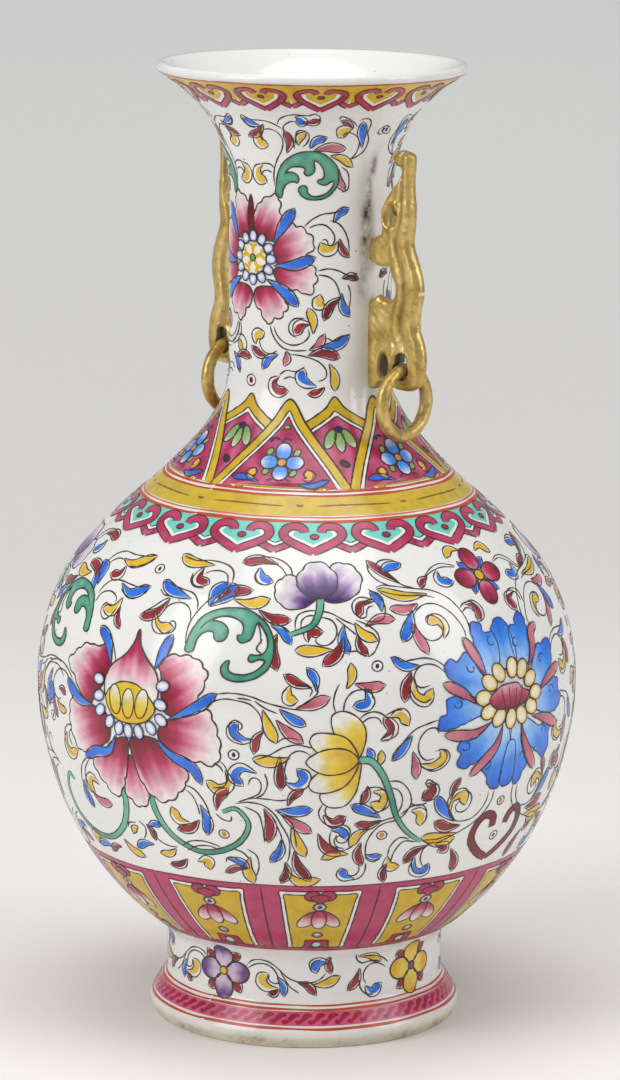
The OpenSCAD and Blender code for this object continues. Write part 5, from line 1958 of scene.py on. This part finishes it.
def paper_material():
    """Matt pale paper with painted light and shade: lightest towards the front under the vase and greyer up the
    backdrop.
    """
    material, nodes, links, bsdf = new_material("pale_paper_painted_falloff")
    where, along = nodes.new("ShaderNodeTexCoord"), nodes.new("ShaderNodeVectorMath")
    along.operation = "DOT_PRODUCT"
    links.new(where.outputs["Object"], along.inputs[0])
    along.inputs[1].default_value = Vector((0, 0, 1)) * 0.75 - TO_CAMERA * 0.5
    # Painted fall-off of the light: the paper's colour darkens with height and with distance behind the vase.
    tone = ramp_node(nodes, links, along.outputs["Value"],
                     [(0.0, rgb(241, 238, 235)), (0.4, rgb(229, 227, 224)), (0.75, rgb(219, 219, 217)),
                      (0.96, rgb(200, 201, 203))])
    fibre = ramp_node(nodes, links, noise_node(nodes, links, 3, 2), [(0.3, grey(0.985)), (0.7, grey(1.0))])
    links.new(mix_node(nodes, links, tone, fibre, 1.0, "MULTIPLY"), bsdf.inputs["Base Color"])
    bsdf.inputs["Roughness"].default_value = 0.9
    return material


VIEW_ANGLE = math.radians(40)
TO_CAMERA = Vector((math.sin(VIEW_ANGLE), -math.cos(VIEW_ANGLE), 0))
TO_RIGHT = Vector((math.cos(VIEW_ANGLE), math.sin(VIEW_ANGLE), 0))


def make_stage():
    """A pale sweep: floor, then a low bend behind the vase that doesn't hide it from the back."""
    radius, bend_starts, bend_turns = 0.9, 0.7, math.radians(48)
    section = [(-2.0, 0.0)]
    section += [(bend_starts + radius * math.sin(a), radius - radius * math.cos(a))
                for a in np.linspace(0, bend_turns, 16)]
    points = []
    for side in (-1.5, 1.5):
        for away, z in section:
            p = -TO_CAMERA * away + TO_RIGHT * side
            points.append((p.x, p.y, z - 0.0002))
    n = len(section)
    faces = [(k, k + 1, n + k + 1, n + k) for k in range(n - 1)]
    stage = add_mesh("backdrop_sweep", points, faces, paper_material(),
                     body=None)


def soft_light(name, side, toward, height, size, power, tint=(1, 1, 1), aim=0.15):
    """A large square light placed from the vase's axis in the camera's own left-right and near-far."""
    data = bpy.data.lights.new(name, "AREA")
    data.shape, data.size, data.size_y = "RECTANGLE", size[0], size[1]
    data.energy, data.color = power, tint
    lamp = bpy.data.objects.new(name, data)
    place = TO_RIGHT * side + TO_CAMERA * toward + Vector((0, 0, height))
    lamp.location = place
    lamp.rotation_euler = (Vector((0, 0, aim)) - place).to_track_quat("-Z", "Y").to_euler()
    bpy.context.scene.collection.objects.link(lamp)


def make_lights():
    """Three soft lamps in a dim studio."""
    world = bpy.data.worlds.new("studio")
    bpy.context.scene.world = world
    world.use_nodes = True
    world.node_tree.nodes["Background"].inputs[0].default_value = (0.82, 0.83, 0.85, 1)
    world.node_tree.nodes["Background"].inputs[1].default_value = 0.4
    soft_light("left_softbox", -1.3, 0.9, 1.0, (0.9, 1.4), 16)
    soft_light("right_softbox", 1.5, 0.5, 0.9, (0.8, 1.3), 10)
    soft_light("top_softbox", 0.0, 0.2, 1.9, (1.4, 1.4), 17)


def make_camera():
    """The photograph's view: 11 degrees down from 1.44 m, long lens, a hair of roll."""
    distance, height, pitch, roll = 1.436, 0.4297, math.radians(11.0), 0.009
    forward = -TO_CAMERA * math.cos(pitch) - Vector((0, 0, math.sin(pitch)))
    up = TO_RIGHT.cross(forward)
    right = TO_RIGHT * math.cos(roll) + up * math.sin(roll)
    up = up * math.cos(roll) - TO_RIGHT * math.sin(roll)
    data = bpy.data.cameras.new("camera")
    data.sensor_width, data.lens, data.shift_x = 36, 155.9, 0.0019
    camera = bpy.data.objects.new("camera", data)
    place = TO_CAMERA * distance + Vector((0, 0, height))
    camera.matrix_world = Matrix.Translation(place) @ Matrix((right, up, -forward)).transposed().to_4x4()
    bpy.context.scene.collection.objects.link(camera)
    bpy.context.scene.camera = camera


bpy.context.scene.view_settings.view_transform = "Standard"
make_stage()
make_lights()
make_camera()
